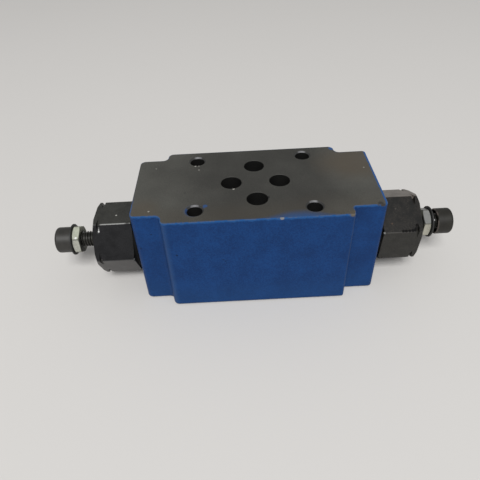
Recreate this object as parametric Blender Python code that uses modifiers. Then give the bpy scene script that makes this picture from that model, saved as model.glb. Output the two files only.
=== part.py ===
"""Hydraulic sandwich valve: a double throttle and check valve for the small standard port pattern.

Metres, +Z up. The origin is the middle of the bolt pattern, on the bottom face, and +X runs along the body.
A cartridge is screwed into each end. Places along its axis are distances outward from the body's middle.
"""

from dataclasses import dataclass
from math import ceil, cos, pi, radians, sin, tan, tau

import bmesh
import bpy
from mathutils import Matrix, Vector

MM = 0.001

# Clearances
GAP = 0.3 * MM
RUNNING_CLEARANCE = 0.2 * MM
SEAL_CLEARANCE = 0.1 * MM

# Body
BODY_LENGTH = 87.0 * MM
BODY_WIDTH = 43.5 * MM
BODY_HEIGHT = 40.0 * MM
BODY_MIDDLE_X = 1.25 * MM
NECK_SETBACK = 4.45 * MM
LEFT_NECK_LENGTH = 10.5 * MM
RIGHT_NECK_LENGTH = 11.75 * MM
STEP_RADIUS = 2.1 * MM
CRISP_STEP_RADIUS = 0.9 * MM
LEFT_END_RADIUS = 2.0 * MM
RIGHT_END_RADIUS = 1.3 * MM
BOTTOM_EDGE_RADIUS = 0.6 * MM

# Bolt and port pattern
BOLT_SPACING = 40.5 * MM
LEFT_BOLT_TO_SIDE = 6.25 * MM
RIGHT_BOLT_TO_SIDE = 5.5 * MM
BOLT_BORE = 5.4 * MM
BOLT_CHAMFER = 0.5 * MM
PORT_BORE = 7.5 * MM
PORT_RIM = 0.15 * MM
PORT_A_X = -7.55 * MM
PORT_B_X = 9.95 * MM
PORT_P_Y = 10.4 * MM
TOP_PORT_DEPTH = 9.0 * MM
SEAL_RECESS_BORE = 12.8 * MM
SEAL_RECESS_DEPTH = 1.4 * MM
PORT_SEAL_BORE = 9.0 * MM
PORT_SEAL_CORD = 1.78 * MM

# Cartridge bore in the body
AXIS_HEIGHT = 17.0 * MM
CHAMBER_START = 5.5 * MM
CARTRIDGE_BORE = 17.0 * MM
THREAD_BORE = 20.4 * MM
THREAD_DEPTH = 14.5 * MM
MOUTH_BORE = 22.2 * MM
MOUTH_DEPTH = 1.7 * MM
OUTLET_GROOVE_BORE = 20.0 * MM
OUTLET_GROOVE_WIDTH = 4.0 * MM
OUTLET_GROOVE_FROM_THREAD = 1.75 * MM
PASSAGE_BORE = 5.6 * MM
PASSAGE_START_HEIGHT = 34.0 * MM
PASSAGE_END_OVER_AXIS = 11.0 * MM

# End plug
COLLAR_DIAMETER = 23.2 * MM
COLLAR_LENGTH = 2.3 * MM
HEX_FLATS = 24.0 * MM
HEX_LENGTH = 14.5 * MM
HEX_FACE_DIAMETER = 25.2 * MM
HEX_BACK_DIAMETER = 26.0 * MM
HEX_CHAMFER_ANGLE = radians(30)
RIM_GROOVE_FROM_FACE = 2.1 * MM
RIM_GROOVE_WIDTH = 1.4 * MM
RIM_GROOVE_DIAMETER = 25.0 * MM
PLUG_UNDERCUT_DIAMETER = 18.4 * MM
SHANK_CHAMFER = 0.8 * MM
NOSE_DIAMETER = 13.6 * MM
NOSE_BORE = 12.0 * MM
NOSE_LENGTH = 7.3 * MM
NOSE_BORE_DEPTH = 8.0 * MM
NOSE_WINDOW = 4.5 * MM
GUIDE_BORE = 8.5 * MM
SCREW_HOLD_LENGTH = 5.2 * MM
PLUG_SEAL_CORD = 1.6 * MM
LEFT_HEX_TURN = radians(29)
RIGHT_HEX_TURN = radians(5)

# Adjusting screw
SCREW_DIAMETER = 6.0 * MM
SCREW_LENGTH = 22.9 * MM
SCREW_TIP_CHAMFER = 0.5 * MM
SOCKET_FLATS = 3.0 * MM
SOCKET_DEPTH = 3.0 * MM
STEM_DIAMETER = 8.0 * MM
STEM_LENGTH = 8.0 * MM
STEM_GROOVE_DIAMETER = 5.8 * MM
STEM_GROOVE_WIDTH = 1.8 * MM
SCREW_SEAL_CORD = 1.1 * MM
BUTTON_NECK_DIAMETER = 3.2 * MM
BUTTON_NECK_LENGTH = 2.0 * MM
BUTTON_DIAMETER = 5.2 * MM
BUTTON_THICKNESS = 1.6 * MM
LEFT_OPENING = 4.1 * MM
RIGHT_OPENING = 2.0 * MM

# Throttle spool, seat sleeve and check spring
ROD_DIAMETER = 8.0 * MM
SPOOL_LENGTH = 24.2 * MM
CONE_LENGTH = 7.0 * MM
CONE_TIP_DIAMETER = 3.6 * MM
SLEEVE_LENGTH = 3.7 * MM
SLEEVE_BORE = 7.2 * MM
SLEEVE_LEAD = 0.4 * MM
SLEEVE_SPIGOT_DIAMETER = 12.0 * MM
SLEEVE_SPIGOT_LENGTH = 1.2 * MM
SPRING_WIRE = 1.2 * MM
SPRING_TURNS = 5.5
SPRING_CLOSED_TURNS = 0.8

# Lock nut, washer, cap ring and cap
NUT_FLATS = 10.0 * MM
NUT_THICKNESS = 3.0 * MM
NUT_FACE_SHARE = 0.95
NUT_CHAMFER_ANGLE = radians(30)
LEFT_NUT_TURN = radians(52)
RIGHT_NUT_TURN = radians(60)
LEFT_NUT_BACKED_OFF = 0.0 * MM
RIGHT_NUT_BACKED_OFF = 1.9 * MM
WASHER_DIAMETER = 12.1 * MM
WASHER_THICKNESS = 0.6 * MM
FACE_GAP = 0.1 * MM
CAP_RING_CORD = 1.0 * MM
CAP_DIAMETER = 10.0 * MM
CAP_LENGTH = 6.1 * MM
CAP_END_THICKNESS = 1.5 * MM
CAP_EDGE_RADIUS = 1.0 * MM
CAP_RIM_CHAMFER = 0.25 * MM
CAP_BORE = 6.7 * MM
CAP_MOUTH_BORE = 8.8 * MM
CAP_MOUTH_DEPTH = 1.9 * MM

# Facets
BODY_STEPS = 32
PLUG_STEPS = 32
SCREW_STEPS = 20
PORT_STEPS = 20
CAP_STEPS = 28
RING_STEPS = 20
CORD_STEPS = 6
SPRING_STEPS = 11
CORNER_STEPS = 3
OVERRUN = 1.0 * MM
MERGE_DISTANCE = 0.01 * MM
SMOOTH_ANGLE = radians(35)
FILLET_SHARE = 0.48
LEVEL_NORMAL = 0.5

# Places along the cartridge, outward from the body's middle
BODY_END = BODY_LENGTH / 2
BODY_SIDE = BODY_WIDTH / 2
NECK_SIDE = BODY_SIDE - NECK_SETBACK
LEFT_BOLT_Y = BODY_SIDE - LEFT_BOLT_TO_SIDE
RIGHT_BOLT_Y = BODY_SIDE - RIGHT_BOLT_TO_SIDE
THREAD_FLOOR = BODY_END - THREAD_DEPTH
MOUTH_FLOOR = BODY_END - MOUTH_DEPTH
GROOVE_OUTER = THREAD_FLOOR - OUTLET_GROOVE_FROM_THREAD
GROOVE_INNER = GROOVE_OUTER - OUTLET_GROOVE_WIDTH
GROOVE_MIDDLE = (GROOVE_OUTER + GROOVE_INNER) / 2
SHANK_START = THREAD_FLOOR + GAP
NOSE_END = SHANK_START - NOSE_LENGTH
COLLAR_START = BODY_END + GAP
HEX_START = COLLAR_START + COLLAR_LENGTH
PLUG_FACE = HEX_START + HEX_LENGTH
GUIDE_END = PLUG_FACE - SCREW_HOLD_LENGTH
SLEEVE_FACE = NOSE_END - GAP
SLEEVE_BACK = SLEEVE_FACE - SLEEVE_LENGTH
SPRING_START = CHAMBER_START + GAP
SPRING_END = SLEEVE_BACK - GAP

# Radii that follow from the bores
SHANK_RADIUS = THREAD_BORE / 2 - RUNNING_CLEARANCE
SLEEVE_RADIUS = CARTRIDGE_BORE / 2 - RUNNING_CLEARANCE
SCREW_HOLE_RADIUS = SCREW_DIAMETER / 2 + RUNNING_CLEARANCE
SPRING_RADIUS = SLEEVE_SPIGOT_DIAMETER / 2 + GAP + SPRING_WIRE / 2

# The needle closes on the sleeve's bore when its cone fills that bore but for the running clearance.
CONE_SLOPE = (ROD_DIAMETER - CONE_TIP_DIAMETER) / 2 / CONE_LENGTH
CLOSED_TIP = SLEEVE_FACE - (SLEEVE_BORE / 2 - RUNNING_CLEARANCE - CONE_TIP_DIAMETER / 2) / CONE_SLOPE

MATERIALS = {
    "blue_paint": ((0.018, 0.075, 0.25), 0.0, 0.45),
    "ground_iron": ((0.075, 0.075, 0.062), 0.6, 0.55),
    "black_steel": ((0.022, 0.022, 0.022), 0.7, 0.42),
    "bright_steel": ((0.50, 0.50, 0.48), 1.0, 0.30),
    "dark_steel": ((0.06, 0.06, 0.058), 0.9, 0.40),
    "zinc": ((0.52, 0.55, 0.48), 1.0, 0.38),
    "spring_steel": ((0.30, 0.30, 0.31), 1.0, 0.35),
    "rubber": ((0.012, 0.012, 0.012), 0.0, 0.40),
    "black_plastic": ((0.030, 0.029, 0.027), 0.0, 0.55),
}


@dataclass(frozen=True)
class Side:
    """One end of the valve: what differs between left and right."""

    name: str
    outward: int
    port_x: float
    opening: float
    hex_turn: float
    nut_turn: float
    nut_backed_off: float

    @property
    def spool_tip(self):
        return CLOSED_TIP + self.opening

    @property
    def spool_end(self):
        return self.spool_tip + SPOOL_LENGTH

    @property
    def stem_face(self):
        return self.spool_end + GAP

    @property
    def shoulder(self):
        return self.stem_face + STEM_LENGTH

    @property
    def screw_tip(self):
        return self.shoulder + SCREW_LENGTH

    @property
    def cap_floor(self):
        return self.screw_tip + GAP

    @property
    def cap_end(self):
        return self.cap_floor + CAP_END_THICKNESS

    @property
    def cap_mouth(self):
        return self.cap_end - CAP_LENGTH

    @property
    def washer_outer(self):
        return self.cap_mouth - FACE_GAP - self.nut_backed_off

    @property
    def washer_inner(self):
        return self.washer_outer - WASHER_THICKNESS

    @property
    def nut_outer(self):
        return self.washer_inner - FACE_GAP

    @property
    def nut_inner(self):
        return self.nut_outer - NUT_THICKNESS

    @property
    def cap_ring_middle(self):
        return self.washer_outer + RUNNING_CLEARANCE + CAP_RING_CORD / 2


SIDES = (
    Side("left", -1, PORT_A_X, LEFT_OPENING, -LEFT_HEX_TURN, -LEFT_NUT_TURN, LEFT_NUT_BACKED_OFF),
    Side("right", 1, PORT_B_X, RIGHT_OPENING, RIGHT_HEX_TURN, RIGHT_NUT_TURN, RIGHT_NUT_BACKED_OFF),
)


# Scene helpers

def clear_scene():
    for obj in list(bpy.data.objects):
        bpy.data.objects.remove(obj, do_unlink=True)


def new_collection(name):
    collection = bpy.data.collections.new(name)
    bpy.context.scene.collection.children.link(collection)
    return collection


def new_material(name):
    colour, metallic, roughness = MATERIALS[name]
    material = bpy.data.materials.new(name)
    material.use_nodes = True
    shader = material.node_tree.nodes["Principled BSDF"]
    shader.inputs["Base Color"].default_value = (*colour, 1.0)
    shader.inputs["Metallic"].default_value = metallic
    shader.inputs["Roughness"].default_value = roughness
    material.diffuse_color = (*colour, 1.0)
    return material


class Workshop:
    """Keeps the collections and materials, and makes the named objects."""

    def __init__(self):
        self.parts = new_collection("hydraulic_sandwich_valve")
        self.cutters = new_collection("cutters")
        self.materials = {name: new_material(name) for name in MATERIALS}

    def add(self, name, data, parent=None, material=None):
        """A part if it has a material, otherwise a hidden cutter."""
        obj = bpy.data.objects.new(name, data)
        (self.parts if material else self.cutters).objects.link(obj)
        obj.parent = parent
        if material:
            obj.data.materials.append(self.materials[material])
        else:
            obj.hide_render = True
            obj.display_type = "WIRE"
        return obj

    def turned(self, name, profile, steps, parent=None, material=None):
        """A round piece about local Z. The profile is (radius, height) points, down the outer side first.

        A profile that starts and ends on the axis stays open there, any other is a closed ring.
        """
        mesh = bpy.data.meshes.new(name)
        shape = bmesh.new()
        points = [shape.verts.new((radius, 0.0, height)) for radius, height in profile]
        pairs = list(zip(points, points[1:]))
        if profile[0][0] > 0:
            pairs.append((points[-1], points[0]))
        for pair in pairs:
            shape.edges.new(pair)
        shape.to_mesh(mesh)
        shape.free()
        obj = self.add(name, mesh, parent, material)
        screw = obj.modifiers.new("turn", "SCREW")
        screw.axis = "Z"
        screw.angle = tau
        screw.steps = steps
        screw.render_steps = steps
        screw.use_merge_vertices = True
        screw.merge_threshold = MERGE_DISTANCE
        return obj

    def ring(self, name, radius, cord, height, parent, material, place=(0.0, 0.0)):
        """An O-ring that lies square to local Z."""
        steps = [index * tau / CORD_STEPS for index in range(CORD_STEPS)]
        profile = [(radius + cord / 2 * cos(step), height - cord / 2 * sin(step)) for step in steps]
        obj = self.turned(name, profile, RING_STEPS, parent, material)
        obj.location = (*place, 0.0)
        return obj

    def hex_bar(self, name, flats, low, high, turn, parent):
        """A hexagonal bar about local Z, one corner turned from local X."""
        mesh = bpy.data.meshes.new(name)
        shape = bmesh.new()
        corner = flats / 2 / cos(pi / 6)
        bmesh.ops.create_cone(
            shape, cap_ends=True, segments=6, radius1=corner, radius2=corner, depth=high - low
        )
        corner_to_x = pi / 6
        spin = Matrix.Rotation(turn + corner_to_x, 4, "Z")
        bmesh.ops.transform(shape, matrix=spin, verts=shape.verts)
        bmesh.ops.translate(shape, vec=(0.0, 0.0, (low + high) / 2), verts=shape.verts)
        shape.to_mesh(mesh)
        shape.free()
        return self.add(name, mesh, parent)

    def box(self, name, low, high, parent):
        """A cutter between two corners."""
        mesh = bpy.data.meshes.new(name)
        shape = bmesh.new()
        size = [top - bottom for bottom, top in zip(low, high)]
        middle = [(top + bottom) / 2 for bottom, top in zip(low, high)]
        place = Matrix.Translation(middle) @ Matrix.Diagonal((*size, 1.0))
        bmesh.ops.create_cube(shape, size=1.0, matrix=place)
        shape.to_mesh(mesh)
        shape.free()
        return self.add(name, mesh, parent)

    def drill(self, name, start, end, diameter, steps, parent=None):
        """A round cutter from one point to another."""
        start, end = Vector(start), Vector(end)
        mesh = bpy.data.meshes.new(name)
        shape = bmesh.new()
        turn = (end - start).to_track_quat("Z", "X").to_matrix().to_4x4()
        place = Matrix.Translation((start + end) / 2) @ turn
        bmesh.ops.create_cone(
            shape, cap_ends=True, segments=steps, radius1=diameter / 2, radius2=diameter / 2,
            depth=(end - start).length, matrix=place,
        )
        shape.to_mesh(mesh)
        shape.free()
        return self.add(name, mesh, parent)

    def slab(self, name, outline, height, material):
        """A flat outline, raised from the floor to a height."""
        curve = bpy.data.curves.new(name + "_outline", "CURVE")
        curve.dimensions = "2D"
        curve.fill_mode = "BOTH"
        curve.extrude = height / 2
        spline = curve.splines.new("POLY")
        spline.points.add(len(outline) - 1)
        for point, (x, y) in zip(spline.points, outline):
            point.co = (x, y, 0.0, 1.0)
        spline.use_cyclic_u = True
        guide = self.add(name + "_outline", curve)
        guide.location.z = height / 2
        bpy.context.view_layer.update()
        graph = bpy.context.evaluated_depsgraph_get()
        mesh = bpy.data.meshes.new_from_object(guide.evaluated_get(graph))
        mesh.transform(guide.matrix_world)
        shape = bmesh.new()
        shape.from_mesh(mesh)
        bmesh.ops.remove_doubles(shape, verts=shape.verts, dist=MERGE_DISTANCE)
        caps = [
            face for face in shape.faces
            if abs(face.normal.z) > LEVEL_NORMAL or face.calc_area() < MERGE_DISTANCE**2
        ]
        bmesh.ops.delete(shape, geom=caps, context="FACES")
        rims = [edge for edge in shape.edges if edge.is_boundary]
        bmesh.ops.holes_fill(shape, edges=rims, sides=0)
        bmesh.ops.recalc_face_normals(shape, faces=shape.faces)
        shape.to_mesh(mesh)
        shape.free()
        bpy.data.objects.remove(guide, do_unlink=True)
        mesh.name = name
        return self.add(name, mesh, material=material)

    def coil(self, name, points, wire, parent, material):
        """Round wire through the points, its ends closed."""
        curve = bpy.data.curves.new(name, "CURVE")
        curve.dimensions = "3D"
        curve.bevel_depth = wire / 2
        curve.bevel_resolution = 2
        curve.use_fill_caps = True
        spline = curve.splines.new("POLY")
        spline.points.add(len(points) - 1)
        for point, place in zip(spline.points, points):
            point.co = (*place, 1.0)
        return self.add(name, curve, parent, material)


def boolean(obj, other, operation="DIFFERENCE", solver="EXACT"):
    modifier = obj.modifiers.new(other.name, "BOOLEAN")
    modifier.operation = operation
    modifier.solver = solver
    modifier.object = other


def rounded_outline(corners):
    """Points round a polygon of (x, y, radius) corners, each corner an arc that fits its two sides."""
    outline = []
    count = len(corners)
    for index, (x, y, radius) in enumerate(corners):
        corner = Vector((x, y))
        before = Vector(corners[index - 1][:2]) - corner
        after = Vector(corners[(index + 1) % count][:2]) - corner
        bend = before.angle(after)
        reach = min(radius / tan(bend / 2), FILLET_SHARE * before.length, FILLET_SHARE * after.length)
        arc_radius = reach * tan(bend / 2)
        middle = corner + (before.normalized() + after.normalized()).normalized() * arc_radius / sin(bend / 2)
        first = corner + before.normalized() * reach - middle
        last = corner + after.normalized() * reach - middle
        sweep = first.angle_signed(last)
        for step in range(CORNER_STEPS + 1):
            turn = Matrix.Rotation(-sweep * step / CORNER_STEPS, 2)
            outline.append(tuple(middle + turn @ first))
    return outline


# Body

def body_outline():
    """The plate seen from above: a wide middle and a narrower neck at each end."""
    left = BODY_MIDDLE_X - BODY_END
    right = BODY_MIDDLE_X + BODY_END
    left_step = left + LEFT_NECK_LENGTH
    right_step = right - RIGHT_NECK_LENGTH
    wide = BODY_SIDE
    neck = NECK_SIDE
    return rounded_outline([
        (left, -neck, LEFT_END_RADIUS),
        (left_step, -neck, STEP_RADIUS),
        (left_step, -wide, STEP_RADIUS),
        (right_step, -wide, CRISP_STEP_RADIUS),
        (right_step, -neck, CRISP_STEP_RADIUS),
        (right, -neck, RIGHT_END_RADIUS),
        (right, neck, RIGHT_END_RADIUS),
        (right_step, neck, STEP_RADIUS),
        (right_step, wide, STEP_RADIUS),
        (left_step, wide, STEP_RADIUS),
        (left_step, neck, STEP_RADIUS),
        (left, neck, LEFT_END_RADIUS),
    ])


def port_head():
    """The upper end of a vertical port in the top face, its rim slightly broken."""
    radius = PORT_BORE / 2
    return [
        (0.0, BODY_HEIGHT + OVERRUN),
        (radius + PORT_RIM + OVERRUN, BODY_HEIGHT + OVERRUN),
        (radius, BODY_HEIGHT - PORT_RIM),
    ]


def port_foot():
    """The lower end of a vertical port in the bottom face, with the recess of its seal."""
    return [
        (PORT_BORE / 2, SEAL_RECESS_DEPTH),
        (SEAL_RECESS_BORE / 2, SEAL_RECESS_DEPTH),
        (SEAL_RECESS_BORE / 2, -OVERRUN),
        (0.0, -OVERRUN),
    ]


def through_port_profile():
    return port_head() + port_foot()


def upper_port_profile():
    floor = BODY_HEIGHT - TOP_PORT_DEPTH
    return port_head() + [(PORT_BORE / 2, floor), (0.0, floor)]


def lower_port_profile():
    return [(0.0, AXIS_HEIGHT), (PORT_BORE / 2, AXIS_HEIGHT)] + port_foot()


def bolt_profile():
    radius = BOLT_BORE / 2
    top = BODY_HEIGHT
    return [
        (0.0, top + OVERRUN),
        (radius + BOLT_CHAMFER + OVERRUN, top + OVERRUN),
        (radius, top - BOLT_CHAMFER),
        (radius, -OVERRUN),
        (0.0, -OVERRUN),
    ]


def cartridge_bore_profile():
    bore = CARTRIDGE_BORE / 2
    thread = THREAD_BORE / 2
    mouth = MOUTH_BORE / 2
    groove = OUTLET_GROOVE_BORE / 2
    return [
        (0.0, BODY_END + OVERRUN),
        (mouth, BODY_END + OVERRUN),
        (mouth, MOUTH_FLOOR),
        (thread, MOUTH_FLOOR),
        (thread, THREAD_FLOOR),
        (bore, THREAD_FLOOR),
        (bore, GROOVE_OUTER),
        (groove, GROOVE_OUTER),
        (groove, GROOVE_INNER),
        (bore, GROOVE_INNER),
        (bore, CHAMBER_START),
        (0.0, CHAMBER_START),
    ]


def soften_bottom_edge(body):
    """Rounds the casting's bottom rim, and gives the two machined faces their own material."""
    mesh = body.data
    weights = mesh.attributes.new("bevel_weight_edge", "FLOAT", "EDGE")
    for edge in mesh.edges:
        if all(abs(mesh.vertices[index].co.z) < MERGE_DISTANCE for index in edge.vertices):
            faces = [face for face in mesh.polygons if edge.key in face.edge_keys]
            weights.data[edge.index].value = float(any(abs(face.normal.z) < LEVEL_NORMAL for face in faces))
    for face in mesh.polygons:
        face.material_index = int(abs(face.normal.z) > LEVEL_NORMAL)
    bevel = body.modifiers.new("bottom_edge", "BEVEL")
    bevel.limit_method = "WEIGHT"
    bevel.width = BOTTOM_EDGE_RADIUS
    bevel.segments = 2


def make_body(shop, axes):
    body = shop.slab("valve_body", body_outline(), BODY_HEIGHT, "blue_paint")
    body.data.materials.append(shop.materials["ground_iron"])
    soften_bottom_edge(body)
    for side, bolt_y in zip(SIDES, (LEFT_BOLT_Y, RIGHT_BOLT_Y)):
        for row, y in (("near", -bolt_y), ("far", bolt_y)):
            hole = shop.turned(f"{side.name}_{row}_bolt_hole", bolt_profile(), PORT_STEPS)
            hole.location = (side.outward * BOLT_SPACING / 2, y, 0.0)
            boolean(body, hole, solver="MANIFOLD")
    for name, y in (("p", PORT_P_Y), ("t", -PORT_P_Y)):
        port = shop.turned(f"port_{name}", through_port_profile(), PORT_STEPS)
        port.location = (BODY_MIDDLE_X, y, 0.0)
        boolean(body, port, solver="MANIFOLD")
    for side in SIDES:
        below = shop.turned(f"{side.name}_lower_port", lower_port_profile(), PORT_STEPS)
        below.location.x = side.port_x
        above = shop.turned(f"{side.name}_upper_port", upper_port_profile(), PORT_STEPS)
        above.location.x = side.port_x
        outlet = BODY_MIDDLE_X + side.outward * GROOVE_MIDDLE
        passage = shop.drill(
            f"{side.name}_cored_passage",
            (side.port_x, 0.0, PASSAGE_START_HEIGHT),
            (outlet, 0.0, AXIS_HEIGHT + PASSAGE_END_OVER_AXIS),
            PASSAGE_BORE,
            PORT_STEPS,
        )
        bore = shop.turned(
            f"{side.name}_cartridge_bore", cartridge_bore_profile(), BODY_STEPS, axes[side.name]
        )
        for cutter in (bore, below, above, passage):
            boolean(body, cutter, solver="MANIFOLD")


def make_port_seals(shop):
    radius = (PORT_SEAL_BORE + PORT_SEAL_CORD) / 2
    height = SEAL_RECESS_DEPTH - SEAL_CLEARANCE - PORT_SEAL_CORD / 2
    places = {
        "p": (BODY_MIDDLE_X, PORT_P_Y),
        "t": (BODY_MIDDLE_X, -PORT_P_Y),
        "a": (PORT_A_X, 0.0),
        "b": (PORT_B_X, 0.0),
    }
    for port, place in places.items():
        shop.ring(f"port_seal_{port}", radius, PORT_SEAL_CORD, height, None, "rubber", place)


# Cartridge

def plug_profile():
    """The plug as turned from hexagonal bar: head, collar, undercut, shank, nose, then its stepped bore."""
    blank = HEX_FLATS / 2 / cos(pi / 6) + GAP
    face = HEX_FACE_DIAMETER / 2
    back = HEX_BACK_DIAMETER / 2
    slope = tan(HEX_CHAMFER_ANGLE)
    rim_top = PLUG_FACE - RIM_GROOVE_FROM_FACE + RIM_GROOVE_WIDTH / 2
    rim_bottom = rim_top - RIM_GROOVE_WIDTH
    rim = RIM_GROOVE_DIAMETER / 2
    rim_flank = RIM_GROOVE_WIDTH / 4
    undercut_start = MOUTH_FLOOR - RUNNING_CLEARANCE
    nose_floor = NOSE_END + NOSE_BORE_DEPTH
    return [
        (face, PLUG_FACE),
        (blank, PLUG_FACE - (blank - face) * slope),
        (blank, rim_top),
        (rim, rim_top - rim_flank),
        (rim, rim_bottom + rim_flank),
        (blank, rim_bottom),
        (blank, HEX_START + (blank - back) * slope),
        (back, HEX_START),
        (COLLAR_DIAMETER / 2, HEX_START),
        (COLLAR_DIAMETER / 2, COLLAR_START),
        (PLUG_UNDERCUT_DIAMETER / 2, COLLAR_START),
        (PLUG_UNDERCUT_DIAMETER / 2, undercut_start),
        (SHANK_RADIUS, undercut_start),
        (SHANK_RADIUS, SHANK_START + SHANK_CHAMFER),
        (SHANK_RADIUS - SHANK_CHAMFER, SHANK_START),
        (NOSE_DIAMETER / 2, SHANK_START),
        (NOSE_DIAMETER / 2, NOSE_END),
        (NOSE_BORE / 2, NOSE_END),
        (NOSE_BORE / 2, nose_floor),
        (GUIDE_BORE / 2, nose_floor),
        (GUIDE_BORE / 2, GUIDE_END),
        (SCREW_HOLE_RADIUS, GUIDE_END),
        (SCREW_HOLE_RADIUS, PLUG_FACE),
    ]


def make_end_plug(shop, side, axis):
    plug = shop.turned(f"{side.name}_end_plug", plug_profile(), PLUG_STEPS, axis, "black_steel")
    bar = shop.hex_bar(
        f"{side.name}_plug_bar", HEX_FLATS, NOSE_END - OVERRUN, PLUG_FACE + OVERRUN, side.hex_turn, axis
    )
    boolean(plug, bar, "INTERSECT")
    reach = NOSE_DIAMETER / 2 + OVERRUN
    for name, arm in (("high", Vector((reach, 0, 0))), ("cross", Vector((0, reach, 0)))):
        middle = Vector((0, 0, GROOVE_MIDDLE))
        window = shop.drill(
            f"{side.name}_{name}_window", middle - arm, middle + arm, NOSE_WINDOW, PORT_STEPS // 2, axis
        )
        boolean(plug, window)
    seal_radius = (PLUG_UNDERCUT_DIAMETER + MOUTH_BORE) / 4
    seal_middle = MOUTH_FLOOR + SEAL_CLEARANCE + PLUG_SEAL_CORD / 2
    shop.ring(f"{side.name}_plug_seal", seal_radius, PLUG_SEAL_CORD, seal_middle, axis, "rubber")


def screw_profile(side):
    """Threaded end, stem with its seal groove, and the button that the spool hangs on."""
    thread = SCREW_DIAMETER / 2
    stem = STEM_DIAMETER / 2
    groove = STEM_GROOVE_DIAMETER / 2
    groove_top = side.shoulder - (STEM_LENGTH - STEM_GROOVE_WIDTH) / 2
    button_top = side.stem_face - BUTTON_NECK_LENGTH
    return [
        (0.0, side.screw_tip),
        (thread - SCREW_TIP_CHAMFER, side.screw_tip),
        (thread, side.screw_tip - SCREW_TIP_CHAMFER),
        (thread, side.shoulder),
        (stem, side.shoulder),
        (stem, groove_top),
        (groove, groove_top),
        (groove, groove_top - STEM_GROOVE_WIDTH),
        (stem, groove_top - STEM_GROOVE_WIDTH),
        (stem, side.stem_face),
        (BUTTON_NECK_DIAMETER / 2, side.stem_face),
        (BUTTON_NECK_DIAMETER / 2, button_top),
        (BUTTON_DIAMETER / 2, button_top),
        (BUTTON_DIAMETER / 2, button_top - BUTTON_THICKNESS),
        (0.0, button_top - BUTTON_THICKNESS),
    ]


def make_adjusting_screw(shop, side, axis):
    screw = shop.turned(
        f"{side.name}_adjusting_screw", screw_profile(side), SCREW_STEPS, axis, "dark_steel"
    )
    socket = shop.hex_bar(
        f"{side.name}_key_socket", SOCKET_FLATS, side.screw_tip - SOCKET_DEPTH, side.screw_tip + OVERRUN,
        0.0, axis,
    )
    boolean(screw, socket)
    seal_radius = (STEM_GROOVE_DIAMETER + GUIDE_BORE) / 4
    seal_middle = side.shoulder - STEM_LENGTH / 2
    shop.ring(f"{side.name}_screw_seal", seal_radius, SCREW_SEAL_CORD, seal_middle, axis, "rubber")


def make_throttle_spool(shop, side, axis):
    """The needle. A T-slot across its outer end takes the screw's button."""
    rod = ROD_DIAMETER / 2
    profile = [
        (0.0, side.spool_end),
        (rod, side.spool_end),
        (rod, side.spool_tip + CONE_LENGTH),
        (CONE_TIP_DIAMETER / 2, side.spool_tip),
        (0.0, side.spool_tip),
    ]
    spool = shop.turned(f"{side.name}_throttle_spool", profile, SCREW_STEPS, axis, "bright_steel")
    reach = rod + OVERRUN
    neck = BUTTON_NECK_DIAMETER / 2 + RUNNING_CLEARANCE
    wide = BUTTON_DIAMETER / 2 + 2 * RUNNING_CLEARANCE
    lip = side.stem_face - BUTTON_NECK_LENGTH + GAP
    floor = side.stem_face - BUTTON_NECK_LENGTH - BUTTON_THICKNESS - GAP
    entry = shop.box(
        f"{side.name}_slot_entry", (-neck, -reach, floor), (neck, reach, side.spool_end + OVERRUN), axis
    )
    slot = shop.box(f"{side.name}_slot", (-wide, -reach, floor), (wide, reach, lip), axis)
    boolean(spool, entry)
    boolean(spool, slot)


def make_seat_sleeve(shop, side, axis):
    """The seat ring that also lifts as the check piece, with a spigot that centres its spring."""
    bore = SLEEVE_BORE / 2
    spigot = SLEEVE_SPIGOT_DIAMETER / 2
    profile = [
        (SLEEVE_RADIUS, SLEEVE_FACE),
        (SLEEVE_RADIUS, SLEEVE_BACK),
        (spigot, SLEEVE_BACK),
        (spigot, SLEEVE_BACK - SLEEVE_SPIGOT_LENGTH),
        (bore, SLEEVE_BACK - SLEEVE_SPIGOT_LENGTH),
        (bore, SLEEVE_FACE - SLEEVE_LEAD),
        (bore + SLEEVE_LEAD, SLEEVE_FACE),
    ]
    shop.turned(f"{side.name}_seat_sleeve", profile, PLUG_STEPS, axis, "bright_steel")


def make_check_spring(shop, side, axis):
    """A compression spring whose end turns lie nearly closed."""
    low = SPRING_START + SPRING_WIRE / 2
    high = SPRING_END - SPRING_WIRE / 2
    closed = (SPRING_WIRE + RUNNING_CLEARANCE) * SPRING_CLOSED_TURNS
    stops = [(0.0, low), (SPRING_CLOSED_TURNS, low + closed)]
    stops += [(SPRING_TURNS - SPRING_CLOSED_TURNS, high - closed), (SPRING_TURNS, high)]
    points = []
    for (turn, height), (next_turn, next_height) in zip(stops, stops[1:]):
        steps = ceil((next_turn - turn) * SPRING_STEPS)
        for step in range(steps):
            share = step / steps
            points.append((turn + share * (next_turn - turn), height + share * (next_height - height)))
    points.append(stops[-1])
    helix = [
        (SPRING_RADIUS * cos(turn * tau), SPRING_RADIUS * sin(turn * tau), height) for turn, height in points
    ]
    shop.coil(f"{side.name}_check_spring", helix, SPRING_WIRE, axis, "spring_steel")


def make_lock_nut(shop, side, axis):
    corner = NUT_FLATS / 2 / cos(pi / 6) + GAP
    face = NUT_FACE_SHARE * NUT_FLATS / 2
    chamfer = (corner - face) * tan(NUT_CHAMFER_ANGLE)
    profile = [
        (face, side.nut_outer),
        (corner, side.nut_outer - chamfer),
        (corner, side.nut_inner + chamfer),
        (face, side.nut_inner),
        (SCREW_HOLE_RADIUS, side.nut_inner),
        (SCREW_HOLE_RADIUS, side.nut_outer),
    ]
    nut = shop.turned(f"{side.name}_lock_nut", profile, SCREW_STEPS, axis, "zinc")
    bar = shop.hex_bar(
        f"{side.name}_nut_bar", NUT_FLATS, side.nut_inner - OVERRUN, side.nut_outer + OVERRUN,
        side.nut_turn, axis,
    )
    boolean(nut, bar, "INTERSECT")


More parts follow.
